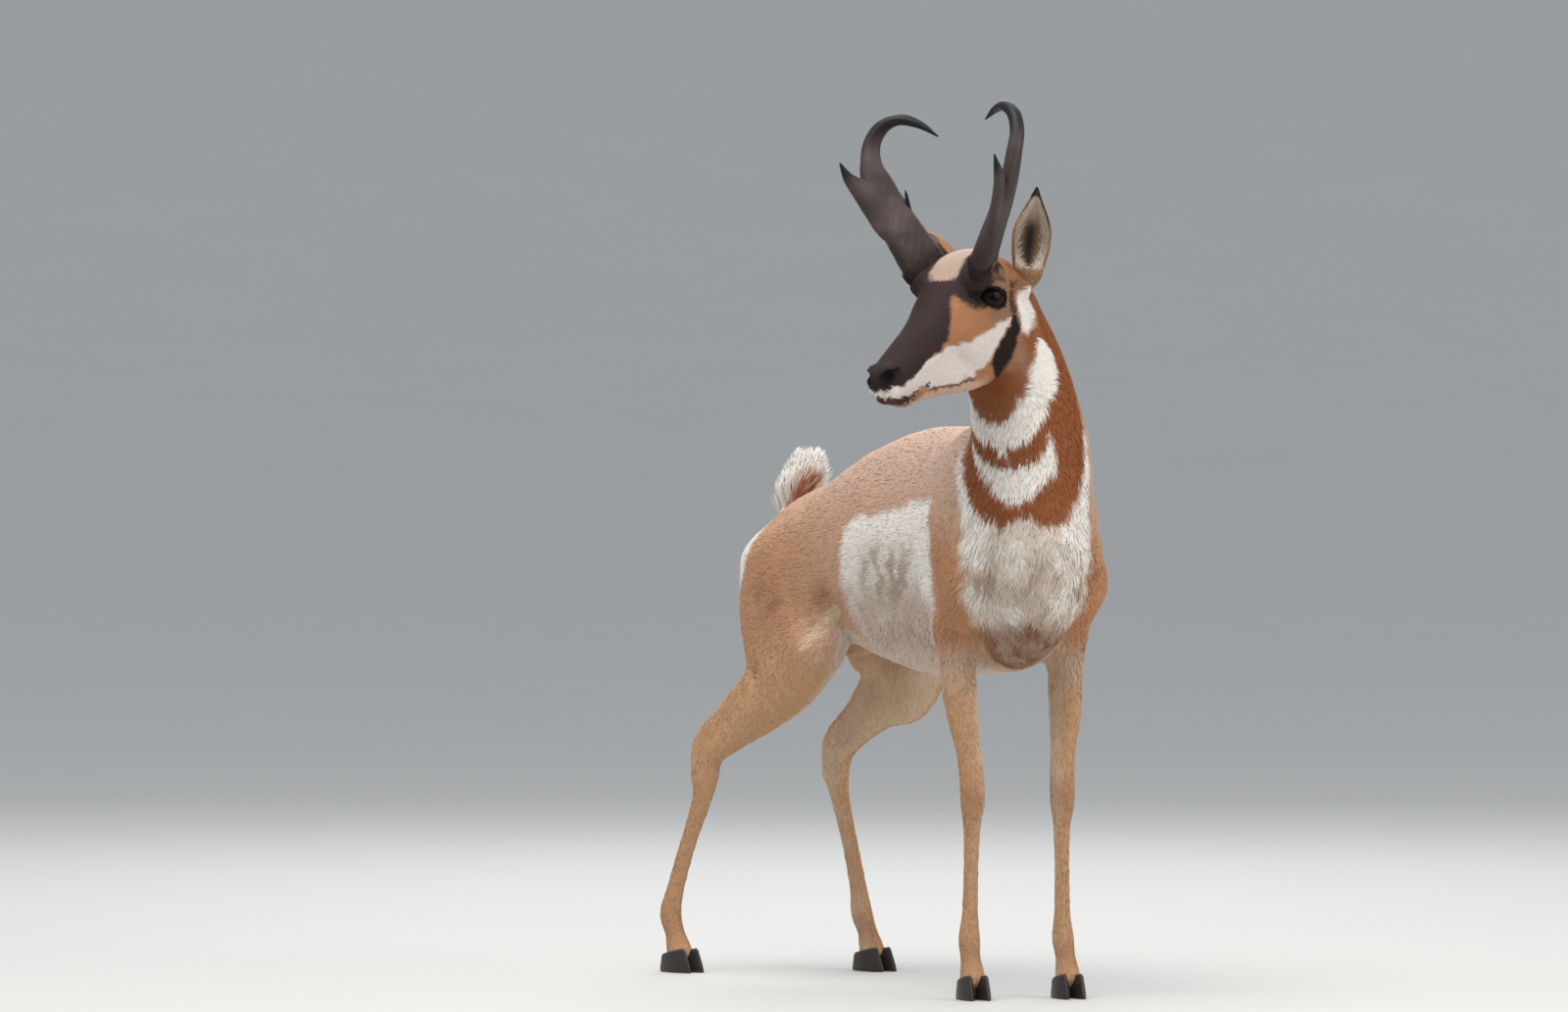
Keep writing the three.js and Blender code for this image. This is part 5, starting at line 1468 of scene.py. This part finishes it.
# %% Horns
HORN_TOE_OUT = 27
BEAM = [(0, 40, 22, 18, 8), (0, 47, 40, 34, 18), (-2, 58, 62, 36, 19), (-5, 80, 100, 33, 17),
        (-8, 104, 140, 31, 15), (-14, 122, 178, 27, 13), (-22, 132, 212, 17, 12), (-36, 134, 240, 13.5, 11),
        (-52, 122, 262, 12, 10), (-66, 98, 271, 10, 8.5), (-77, 72, 262, 6.5, 6), (-83, 46, 244, 1.2, 1.2)]
PRONG = [(-4, 78, 92, 16, 8), (4, 94, 118, 27, 11.5), (10, 112, 150, 24, 10.5), (20, 127, 178, 17, 9),
         (32, 137, 200, 9, 6.5), (40, 142, 226, 1.2, 1.2)]
TIP_LIFT = {"left": 10, "right": -12}
HORN_SIDES = 48
BEAM_SHAPE, PRONG_SHAPE = (BEAM, 116, 0.8), (PRONG, 56, 0.6)
SPUR_AT, SPUR_SIZE, SPUR_REACH = (-30, -84, 146), 4.2, 20
horn_finish = finish_of("horn_sheath", roughness=0.5, amount=0.35, fine=260.0, broad=40.0, bump=0.0006,
                        stretch=(420, 420, 60), strength=0.7, Specular_IOR_Level=0.35)
HORN_BASE, HORN_MIDDLE, HORN_TIP = light(40, 29, 27), light(76, 62, 59), light(12, 10, 12)


def horn_tube(name, marks, rows, ridge):
    """
    Rings of the horn: middle + depth x cos(turn) along the blade + thickness x sin(turn) across it,
    with cos and sin to the power 0.9. Each point then moves outwards by ridges, which are three sets of
    waves round the ring that wander with height, and by pits. Both fade toward the tip.
    """
    hand = HANDS[name]
    marks = np.array(marks, float)
    lift = TIP_LIFT[name] * (np.arange(len(marks)) / (len(BEAM) - 1)) ** 3 if len(marks) == len(BEAM) else 0
    spots = place(SKULL, np.stack([marks[:, 0], hand * marks[:, 1], marks[:, 2] + lift], axis=1))
    route, size = catmull(spots, rows), catmull(marks[:, 3:], rows, centripetal=False)
    toe = math.radians(HORN_TOE_OUT)
    blade = SKULL[1] @ np.array([math.cos(toe), hand * math.sin(toe), 0])
    along = unit(np.gradient(route, axis=0))
    deep = unit(blade - along * (along @ blade)[:, None])
    thin = np.cross(along, deep)
    share, turn = np.linspace(0, 1, rows), full_turn(HORN_SIDES)
    flat = [np.sign(f(turn)) * np.abs(f(turn)) ** 0.9 for f in (np.cos, np.sin)]
    rings = route[:, None] + (deep[:, None] * (size[:, :1] * flat[0])[..., None]
                              + thin[:, None] * (size[:, 1:] * flat[1])[..., None])
    wander = share[:, None] * 3.0
    waves = sum(np.sin(count * turn + drift * wander + start)
                for count, drift, start in ((13, 2.0, 0), (21, -3.1, 1), (8, 5, 0)))
    pits = wave_noise(rings.reshape(-1, 3), 15, 30 + hand).reshape(rows, -1)
    fade = (1 - smooth(share, 0.4, 0.7))[:, None]
    rough = ridge * fade * (waves / 3 * 0.6 + pits) - 0.2
    return rings + unit(rings - route[:, None]) * rough[..., None] * smooth(size[:, 1], 1, 8)[:, None, None]


def horn_tint(points):
    """Dark at the base, greyer up the blade in patches, black at the hook and the prong's tip."""
    forward, _, up = local(SKULL, points).T
    patch = smooth(wave_noise(points, 60, 41), -0.3, 0.5)[:, None]
    grey = (smooth(up, 60, 130) * (1 - smooth(up, 225, 262)))[:, None] * (0.4 + 0.6 * patch)
    tint = HORN_BASE + (HORN_MIDDLE - HORN_BASE) * grey
    hook = np.maximum(smooth(up, 235, 268), fall(forward, -62, -40))
    prong_tip = smooth(up, 185, 212) * smooth(forward, 14, 26)
    return tint + (HORN_TIP - tint) * np.maximum(hook, prong_tip)[:, None]


def spur():
    """A small blunt burr on the right horn: radius = size x (the share of its length left) to the 0.45."""
    t, turn = np.linspace(-1, 1, 7)[:, None], full_turn(12)
    size = SPUR_SIZE * (1 - (t + 1) / 2) ** 0.45 + 0.2
    offsets = size * np.cos(turn), size * np.sin(turn), SPUR_REACH * t + 0 * turn
    rings = np.stack([middle + offset for middle, offset in zip(SPUR_AT, offsets)], axis=-1)
    return place(SKULL, rings.reshape(-1, 3)).reshape(rings.shape)


for name in HANDS:
    parts = [closed_tube(horn_tube(name, *shape)) for shape in (BEAM_SHAPE, PRONG_SHAPE)]
    if name == "right":
        parts.append(closed_tube(spur()))
    points, faces = join_parts(parts)
    tint = horn_tint(points)
    if name == "right":
        tint[-len(parts[2][0]):] = HORN_TIP
    horn = new_piece(f"horn_sheath_{name}", points, faces, horn_finish, "horn", tint)
    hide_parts(f"horn_{name}")
    print("the", name, "horn has", len(points), "points")

# %% [markdown]
# ## Hair round the horns' bases
#
# The dark hair of the brow climbs a little way up each horn, so no edge shows where the sheath leaves
# the skin. It grows where the sheath is near the skin, which the skin's own distance tells.

# %% Hair at the horns
HORN_TUFTS, HORN_REACH, LOW_RINGS = 2200, 9.0, 34


def grid_slopes(rings):
    """Directions square to a grid of rings: the cross product of its two neighbour steps."""
    rise = np.gradient(rings, axis=0)
    around = np.roll(rings, -1, axis=1) - np.roll(rings, 1, axis=1)
    return unit(np.cross(rise, around))


def hair_piece(name, slot, tufts_of, lie, root_colours, draws, spots):
    """Makes a piece of tufts from (roots, tips, knees, sides, normals, widths) and how they lie."""
    points, faces = tufts(*tufts_of)
    normals = tuft_normals(tufts_of[4], tufts_of[3], lie)
    new_piece(name, points, faces, hair_finish, slot, tuft_tints(root_colours, draws), spots, normals)
    print(name, len(lie), "tufts")


for number, name in enumerate(HANDS):
    rings = horn_tube(name, *BEAM_SHAPE)[:LOW_RINGS]
    slopes = grid_slopes(rings)
    slopes *= np.sign((slopes * (rings - rings.mean(axis=1, keepdims=True))).sum())
    height = look_up(rings.reshape(-1, 3), skin_field).reshape(rings.shape[:2])
    draws = np.random.default_rng(50 + number).random((5, 40 * HORN_TUFTS))
    r, c = (draws[0] * (LOW_RINGS - 1)).astype(int), (draws[1] * HORN_SIDES).astype(int)
    near = (height[r, c] > -2) & (height[r, c] < HORN_REACH * draws[2] ** 1.5)
    near = np.flatnonzero(near)[:HORN_TUFTS]
    r, c, draws = r[near], c[near], draws[:, near]
    step = rings[r + 1, c] - rings[r, c]
    normal, rise, root = slopes[r, c], unit(step), rings[r, c] + step * draws[3][:, None]
    side = unit(np.cross(rise, normal))
    lie = unit(rise + side * (draws[4] - 0.5)[:, None] * 0.9)
    long, width = 6.0 + 3.5 * draws[2], 1.2 + 0.5 * draws[3]
    knee, tip = root + lie * (0.4 * long)[:, None] + normal * 0.7, root + lie * long[:, None] + normal * 0.5
    spots = sheet_spots(np.full(len(root), EAR_TILE), 0.5 * number + 0.4 * r / LOW_RINGS, c / HORN_SIDES)
    hair_piece(f"horn_hair_{name}", "horn", (root - normal * 0.6, tip, knee, side, normal, width), lie,
               markings(root), draws[0], spots)

# %% [markdown]
# ## Ears
#
# An ear is a cupped leaf, solid at its root, with pale hair inside and a black edge and tip. Each ring
# of the grid runs round the outside and back through the cup, so the wall has two sides and is
# closed. The hair inside grows from the rims and lies across the cup; outside it lies toward the tip.

# %% Ear shells
EAR_MARKS = [(-24, 9, 8, 100, 1), (-10, 17, 15, 100, 1), (4, 21, 18, 106, 1), (16, 24, 20, 116, 0.25),
             (38, 28, 22, 120, 0), (62, 28, 20, 112, 0), (82, 22, 15, 104, 0), (99, 14, 10, 98, 0),
             (112, 7.5, 6, 95, 0.3), (125, 1.5, 1.5, 90, 1)]
EAR_WALL = 3.0
EAR_AXES = {"left": ((-0.22, 0.2, 1), (0.8, 0.6, 0)), "right": ((-0.32, -1.02, 0.72), (0.95, -0.1, 0.25))}
EAR_ROWS, EAR_BACK = 48, 25
EAR_PALE, EAR_HOLLOW_SHADE, EAR_SLOT_SHADE = light(196, 178, 160), light(118, 96, 70), light(30, 24, 16)
EAR_HAIR, EAR_OUTSIDE = light(206, 190, 174), light(170, 130, 98)
EAR_TUFTS, EAR_FRINGE, EAR_CLOSED = 3400, 1100, 13
ear_skin_finish = finish_of("ear_skin", roughness=0.75, amount=0.2, fine=600.0, broad=30.0, bump=0.0003)


def ear_grid(name):
    """
    Rings: at + across x width x sin(turn) - face x depth x cos(turn), from one rim round the back to the
    other, then back inside at the wall's thickness, blended to a closed front where the cup is filled.
    """
    hand = HANDS[name]
    rise, face = (unit(SKULL[1] @ np.array(way, float)) for way in EAR_AXES[name])
    face = unit(face - rise * (face @ rise))
    across = np.cross(rise, face)
    height, width, depth, reach, fill = catmull(EAR_MARKS, EAR_ROWS, centripetal=False).T[:, :, None]
    width, depth, fill = np.maximum(width, 1.0), np.maximum(depth, 1.0), np.clip(fill, 0, 1)[..., None]
    end = np.radians(reach)

    def spot(turn, inset):
        """Places on the rings at a turn from the middle of the back, and set in by the inset."""
        aside, behind = (width - inset) * np.sin(turn), (depth - inset) * np.cos(turn)
        middle = ear_root(hand) + rise * height[..., None]
        return middle + across * aside[..., None] - face * behind[..., None]

    t = np.linspace(0, 1, EAR_BACK)
    wall = np.minimum(EAR_WALL, np.minimum(width, depth) / 2)
    rim = 0.35 + 0.65 * np.sin(np.pi * t[1:-1])
    back = spot(-end + 2 * end * t, 0)
    cup = spot(end - 2 * end * t[1:-1], wall * rim)
    front = spot(end + (2 * np.pi - 2 * end) * t[1:-1], 0)
    return np.concatenate([back, cup + (front - cup) * fill], axis=1), (rise, face, across)


def ear_tint(rings):
    """Tan outside and pale inside, with painted shade in the cup's hollow down its middle, and a black rim
    and tip.
    """
    rows, columns = rings.shape[:2]
    up, t = np.linspace(0, 1, rows)[:, None], np.arange(columns)[None, :]
    inside = (t >= EAR_BACK) & (up > 0.22)
    middle = np.abs(t - (EAR_BACK + (columns - EAR_BACK) / 2)) / ((columns - EAR_BACK) / 2)
    edge = np.minimum(np.abs(t - EAR_BACK + 0.5), np.minimum(t, columns - t)) + 0 * up
    tint = np.where(inside[..., None], EAR_PALE, COAT["temple"])
    # Painted shade: mid brown low in the cup's hollow.
    deep = inside * (1 - smooth(middle, 0.2, 0.75))
    tint = tint + (EAR_HOLLOW_SHADE - tint) * (deep * (1 - smooth(up, 0.55, 0.85)))[..., None]
    # Painted shade: a near-black slot down the middle of the hollow.
    slot = inside * (1 - smooth(middle, 0.04, 0.26)) * smooth(up, 0.26, 0.34) * (1 - smooth(up, 0.55, 0.66))
    tint = tint + (EAR_SLOT_SHADE - tint) * slot[..., None]
    rim = (1 - smooth(edge, 0.4, 1.4)) * smooth(up, 0.45, 0.65)
    tip = smooth(up, 0.84, 0.9)
    black = np.maximum(rim, tip)[..., None]
    hair = np.where(inside[..., None], EAR_HAIR, EAR_OUTSIDE)
    hair = hair + (COAT["jaw black"] - hair) * tip[..., None]
    return (tint + (COAT["jaw black"] - tint) * black).reshape(-1, 3), hair


ear_shapes = {}
for name in HANDS:
    rings, axes = ear_grid(name)
    points, faces = closed_tube(rings)
    faces = faces[:, ::-1]
    tint, hair_tint = ear_tint(rings)
    shell = new_piece(f"ear_shell_{name}", points, faces, ear_skin_finish, "tan_coat",
                      np.vstack([tint, tint[:1], tint[-1:]]))
    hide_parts(f"ear_{name}")
    ear_shapes[name] = rings, axes, hair_tint
    print("the", name, "ear has", len(points), "points")

# %% Hair of the ears
for number, name in enumerate(HANDS):
    rings, (rise, face, across_ear), tint = ear_shapes[name]
    draws = np.random.default_rng(40 + number).random((8, EAR_TUFTS + EAR_FRINGE))
    outer, fringe = draws[:, :EAR_TUFTS], draws[:, EAR_TUFTS:]
    row = 1 + (EAR_ROWS - 3) * outer[0]
    column = np.where(row < EAR_CLOSED, rings.shape[1] - 1, EAR_BACK - 1) * outer[1]
    from_rim = 6.5 * fringe[2]
    near_rim = np.where(fringe[1] > 0.5, 0.6 + from_rim, EAR_BACK - 2.6 - from_rim)
    row = np.concatenate([row, EAR_ROWS * (0.25 + 0.59 * fringe[0])])
    column = np.concatenate([column, EAR_BACK + near_rim])
    r, c = row.astype(int), np.minimum(column.astype(int), rings.shape[1] - 1)
    normal = grid_slopes(rings)[r, c]
    root = rings[r, c] + unit(np.gradient(rings, axis=0))[r, c] * (row - r)[:, None] * 3
    inner = np.arange(len(row)) >= EAR_TUFTS
    turn = (draws[3] - 0.5) * 0.6
    outer_tip = fall(row, 7, 14) * ~inner
    to_middle = unit(-across_ear * np.sign((root - rings.mean(axis=1)[r]) @ across_ear)[:, None])
    lie = np.where(inner[:, None], rise + to_middle * 0.7, rise + 0 * root)
    side = np.cross(normal, unit(lie))
    lie = unit(lie + side * turn[:, None])
    lie = unit(lie - normal * ((lie * normal).sum(axis=1) - np.where(inner, 0.12, 0.05))[:, None])
    side = unit(np.cross(lie, normal))
    edge_short = 1 - 0.45 * smooth(np.abs(column - EAR_BACK / 2), 8, 12) * ~inner
    long = np.where(inner, 7 + 6 * draws[4], 5 + 3 * draws[4]) * edge_short + 5 * outer_tip
    width = np.where(inner, 0.9 + 0.4 * draws[5], 1.1 + 0.4 * draws[5])
    lift = np.where(inner, 0.9, 0.7)
    knee = root + lie * (0.4 * long)[:, None] + normal * (lift * 0.7)[:, None]
    tip = root + lie * long[:, None] + normal * (lift * (0.5 + draws[6]))[:, None]
    spots = sheet_spots(np.full(len(row), EAR_TILE), (number + row / EAR_ROWS) / 2, column / rings.shape[1])
    hair_piece(f"ear_hair_{name}", "tan_coat", (root - normal * 0.4, tip, knee, side, normal, width), lie,
               tint[r, c], draws[7], spots)

# %% [markdown]
# ## Hooves
#
# Each foot stands on two pointed hooves of dark horn. Growth leaves fine rings parallel to the hair's
# edge, and the sole wears flat. A hoof is a stack of leaf-shaped rings, wide at the heel and pointed
# at the toe, which lean back as they rise.

# %% Hooves
HEEL, TOE, HOOF_WIDTH, HEEL_HEIGHT, TOE_HEIGHT = -30, 46, 11.5, 24, 40
HOOF_ROWS, HOOF_SIDES = 22, 40
hoof_finish = finish_of("hoof_horn", light(45, 38, 35), roughness=0.42, amount=0.45, fine=240.0, broad=45.0,
                        bump=0.0005, stretch=(50, 50, 620))


def hoof_rings(body, forward, left, out):
    """Leaf-shaped rings: long x cos(turn), wide x sin(turn) x (1 - 0.45 cos squared) before the middle."""
    rise = np.linspace(0, 1, HOOF_ROWS)[:, None]
    turn = full_turn(HOOF_SIDES)[None, :]
    t = np.cos(turn)
    edge = -1.5 * (1 - smooth(rise, 0.0, 0.07)) - 3.3 * smooth(rise, 0.1, 1.0)
    edge = edge - 2.4 * smooth(rise, 0.86, 1) ** 2
    grow = edge + 0.22 * np.sin(rise * 60) * smooth(rise, 0.12, 0.3) * (1 - smooth(rise, 0.85, 1))
    ahead = (HEEL + TOE) / 2 + ((TOE - HEEL) / 2 + grow) * t - 6.5 * rise * (t + 1)
    taper = np.where(t > 0, 1 - 0.45 * t * t, 1.0)
    side = (HOOF_WIDTH + grow * 0.6) * np.sin(turn) * taper
    top = HEEL_HEIGHT + (TOE_HEIGHT - HEEL_HEIGHT) * (ahead - HEEL) / (TOE - HEEL)
    points = np.stack([forward + ahead, left + out * (HOOF_WIDTH + 1.2) + side, rise * (top + 1.5)], axis=-1)
    return place(body, points.reshape(-1, 3)).reshape(points.shape)


for name, (body, forward, left) in feet.items():
    body = (np.array([body[0][0], body[0][1], 0.0]), body[1])
    hand = 1 if left > 0 else -1
    for side, out in (("outer", hand), ("inner", -hand)):
        points, faces = closed_tube(hoof_rings(body, forward, left, out))
        hoof = new_piece(f"horn_toe_{name}_{side}", points, faces, hoof_finish, "hoof")
        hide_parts(f"hoof_{name}_{side}")
print(2 * len(feet), "hooves")

# %% [markdown]
# ## Tail
#
# The short tail stands up as a flat tuft of long hair, white at its sides and behind, with an orange
# brown front. Locks grow from a core, bend out and up, and end at the outline of the CAD tail. Each
# lock is a flat tapering tube, and hundreds of them over each other look like hair.

# %% Tail locks
TAIL = np.array([(-108, 3, 660, 17, 24), (-106, 6, 694, 20, 40), (-98, 14, 736, 22, 46),
                 (-86, 27, 780, 19, 45), (-80, 26, 818, 8, 26)], float)
TAIL_LOCKS, LOCK_RINGS, LOCK_SIDES = 1100, 6, 4
TAIL_WHITE, TAIL_TAN = light(240, 236, 230), light(170, 104, 62)
tail_finish = finish_of("tail_hair", roughness=0.6, amount=0.14, fine=700.0, broad=30.0, bump=0.0002)


def tail_point(level, turn, share):
    """A place in the tuft: the mark at that level, share x depth back and share x width to the side."""
    forward, left, up, depth, width = (np.interp(level, np.arange(len(TAIL)), column) for column in TAIL.T)
    forward, left = forward - share * depth * np.sin(turn), left + share * width * np.cos(turn)
    return place(PELVIS, np.stack([forward, left, up], axis=-1))


def tail_locks(count, seed):
    """Bent flat tubes: root, knee and tip joined by (1-t)^2, 2t(1-t) and t^2, as wide as a taper of t."""
    draws = np.random.default_rng(seed).random((7, count))
    level = 1.15 + 1.95 * draws[0] ** 0.85
    turn = draws[1] * 2 * np.pi
    level = level + 0.45 * np.maximum(-np.sin(turn), 0) * (level < 1.7)
    depth_in = 0.45 + 0.5 * draws[2] ** 0.6
    root = tail_point(level, turn, 0.2 * depth_in)
    knee = tail_point(np.minimum(level + 0.5, 4), turn, 0.95 * depth_in)
    top = np.minimum(level + 0.9 + 0.7 * draws[3], 3.2 + 0.78 * (1 - np.abs(draws[4] - 0.5) * 2))
    spread = turn + 0.5 * (draws[5] - 0.5)
    reach = np.minimum(depth_in + 0.15 + 0.25 * draws[6], 1.15)
    tip = tail_point(top, spread, reach * (1 - 0.45 * draws[3] * smooth(top, 2.8, 3.8)))
    t = np.linspace(0, 1, LOCK_RINGS)[None, :, None]
    bend = lambda a, b, c: (1 - t) ** 2 * a[:, None] + 2 * t * (1 - t) * b[:, None] + t**2 * c[:, None]
    route = bend(root, knee, tip)
    along = unit(np.gradient(route, axis=1))
    wide = tail_point(level, turn + 0.1, 1) - tail_point(level, turn - 0.1, 1)
    wide = unit(wide[:, None] - along * (along * wide[:, None]).sum(axis=-1, keepdims=True))
    thick = np.cross(along, wide)
    size = (2.4 + 1.8 * draws[5])[:, None, None, None] * (1.02 - t**1.6)[..., None]
    around = full_turn(LOCK_SIDES)[:, None]
    rings = route[:, :, None] + size * (np.cos(around) * wide[:, :, None]
                                        + 0.4 * np.sin(around) * thick[:, :, None])
    front = fall(np.sin(turn), -0.5, -0.1) * fall(np.abs(np.cos(turn)) * depth_in, 0.4, 0.62)
    front = front * (1 - smooth(level + 0.35 * draws[4], 2.0, 2.35))
    return rings, front, draws[6], level, turn


rings, front, draws, level, turn = tail_locks(TAIL_LOCKS, 60)
rows, sides = rings.shape[1:3]
points, faces = join_parts([closed_tube(ring) for ring in rings])
tint = TAIL_WHITE + (TAIL_TAN - TAIL_WHITE) * front[:, None]
root_to_tip = lambda low, high: np.append(np.repeat(np.linspace(low, high, rows), sides), [low, high])
# Painted shade and light: each lock darkens towards its root inside the tuft and is a little paler at its
# tip.
fade, patch = root_to_tip(0.72, 1.04), root_to_tip(-0.5, 0.5) * PATCH
tints = np.clip(tint[:, None] * fade[None, :, None] * (0.93 + 0.14 * draws)[:, None, None], 0, 1)
spots = sheet_spots(np.full(TAIL_LOCKS, TAIL_TILE), turn / (2 * np.pi), (level - 1) / 3,
                    np.stack([0 * patch, patch], axis=1))
tail = new_piece("tail_locks", points, faces, tail_finish, "white_coat", tints.reshape(-1, 3), spots)
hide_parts("tail")
print(TAIL_LOCKS, "locks in the tail")

# %% Tail core
CORE_LEVELS, CORE_SHARES = [0.0, 0.5, 1.0, 2.0, 2.6, 3.0, 3.3], [0.5, 0.5, 0.5, 0.5, 0.42, 0.3, 0.1]
core_level, core_turn = np.meshgrid(CORE_LEVELS, full_turn(24), indexing="ij")
points, faces = closed_tube(tail_point(core_level, core_turn, np.array(CORE_SHARES)[:, None]))
whiteness = smooth(np.sin(np.append(core_turn.ravel(), [0, 0])), -0.6, -0.2)[:, None]
core_tint = TAIL_TAN + (TAIL_WHITE - TAIL_TAN) * whiteness
new_piece("tail_core", points, faces, tail_finish, "white_coat", core_tint)

# %% [markdown]
# ## Floor and light
#
# A museum model stands on a plain pale floor. The floor is a wide dish whose rim rises far away, so
# that no hard edge shows behind the animal from any side. The light is like a bright overcast sky: a
# pale world, one large soft lamp high on the camera's left, and weaker ones from the right and behind.
# The Standard view keeps the coat's colours as they were measured, where another would dull them.

# %% Floor
FLAT_REACH, FLOOR_REACH, RIM_HEIGHT, FLOOR_SIDES = 24, 60.0, 14.0, 96
FLOOR_RINGS = [0.05, 1, 2, 4, 8, 16, FLAT_REACH, 28, 32, 36, 40, 44, 48, 52, 56, FLOOR_REACH]
floor_finish = finish_of("pale_floor", light(198, 196, 192), roughness=0.9, amount=0.03, fine=60.0, broad=1.5,
                         bump=0.0002)


def dish():
    """A round floor in metres: flat at first, then rising as the square of how far past that it is."""
    reach, turn = np.array(FLOOR_RINGS)[:, None], full_turn(FLOOR_SIDES)
    height = RIM_HEIGHT * np.maximum((reach - FLAT_REACH) / (FLOOR_REACH - FLAT_REACH), 0) ** 2
    rings = np.stack([reach * np.cos(turn), reach * np.sin(turn), height + 0 * turn], axis=-1)
    points = np.vstack([rings.reshape(-1, 3), [[0, 0, 0]]])
    i = np.arange(FLOOR_SIDES)
    centre = np.stack([np.full(FLOOR_SIDES, len(points) - 1), i, (i + 1) % FLOOR_SIDES], axis=1)
    quads = grid_faces(len(reach), FLOOR_SIDES)[:, ::-1]
    return points, np.vstack([quads[:, [0, 1, 2]], quads[:, [0, 2, 3]], centre])


floor_points, floor_faces = dish()
floor_mesh = bpy.data.meshes.new("floor")
floor_mesh.from_pydata(floor_points.tolist(), [], floor_faces.tolist())
floor_mesh.polygons.foreach_set("use_smooth", np.ones(len(floor_faces), bool))
floor = bpy.data.objects.new("floor", floor_mesh)
bpy.context.scene.collection.objects.link(floor)
floor_mesh.materials.append(floor_finish)
floor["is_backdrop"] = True

# %% Light
SKY_COLOUR, SKY_STRENGTH = (0.86, 0.92, 1.0, 1), 0.66
LAMP_AIM = (0, 0, 0.65)
world = bpy.data.worlds.new("overcast")
world.use_nodes = True
background = world.node_tree.nodes["Background"]
background.inputs["Color"].default_value = SKY_COLOUR
background.inputs["Strength"].default_value = SKY_STRENGTH
bpy.context.scene.world = world
bpy.context.scene.view_settings.view_transform = "Standard"


def soft_lamp(name, at, size, power, colour):
    """A square area lamp in metres that looks at the middle of the animal."""
    lamp = bpy.data.lights.new(name, "AREA")
    lamp.size, lamp.energy, lamp.color = size, power, colour
    holder = bpy.data.objects.new(name, lamp)
    holder.location = at
    holder.rotation_euler = (Vector(LAMP_AIM) - Vector(at)).to_track_quat("-Z", "Y").to_euler()
    bpy.context.scene.collection.objects.link(holder)


soft_lamp("sky", (1.2, -1.4, 5.0), 4.0, 240, (1.0, 0.97, 0.93))
soft_lamp("side", (3.6, 2.6, 2.2), 3.0, 70, (1.0, 0.97, 0.94))
soft_lamp("behind", (-3.2, 1.6, 3.4), 3.0, 90, (0.95, 0.98, 1.0))

# %% [markdown]
# ## Camera
#
# The photograph was taken from far away with a long lens, from the animal's right front quarter, at
# about the height of its eyes. A long lens makes things flat: near and far legs are almost as large as
# each other. So the camera stands 18 metres away and looks down by little more than a degree.

# %% Camera
VIEW_TURN = 64
VIEW_DISTANCE, VIEW_SIDE, VIEW_HEIGHT, AIM_HEIGHT = 18.0, -0.269, 1.136, 0.731
LENS, CLIP_END = 271.4, 200
angle = math.radians(VIEW_TURN)
right = np.array([math.cos(angle), math.sin(angle), 0])
toward = np.array([math.sin(angle), -math.cos(angle), 0])
aim = right * VIEW_SIDE + [0, 0, AIM_HEIGHT] + TO_MIDDLE * MM
eye_at = right * VIEW_SIDE + toward * VIEW_DISTANCE + [0, 0, VIEW_HEIGHT] + TO_MIDDLE * MM
camera_data = bpy.data.cameras.new("camera")
camera_data.lens = LENS
camera_data.clip_end = CLIP_END
camera = bpy.data.objects.new("camera", camera_data)
camera.location = eye_at
camera.rotation_euler = Vector(aim - eye_at).to_track_quat("-Z", "Y").to_euler()
bpy.context.scene.collection.objects.link(camera)
bpy.context.scene.camera = camera
print("the camera stands", VIEW_DISTANCE, "m away with a lens of", LENS, "mm")

# %% Sizes, and the end
full_box = [list(corner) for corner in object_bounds()]
print("visual box", full_box)
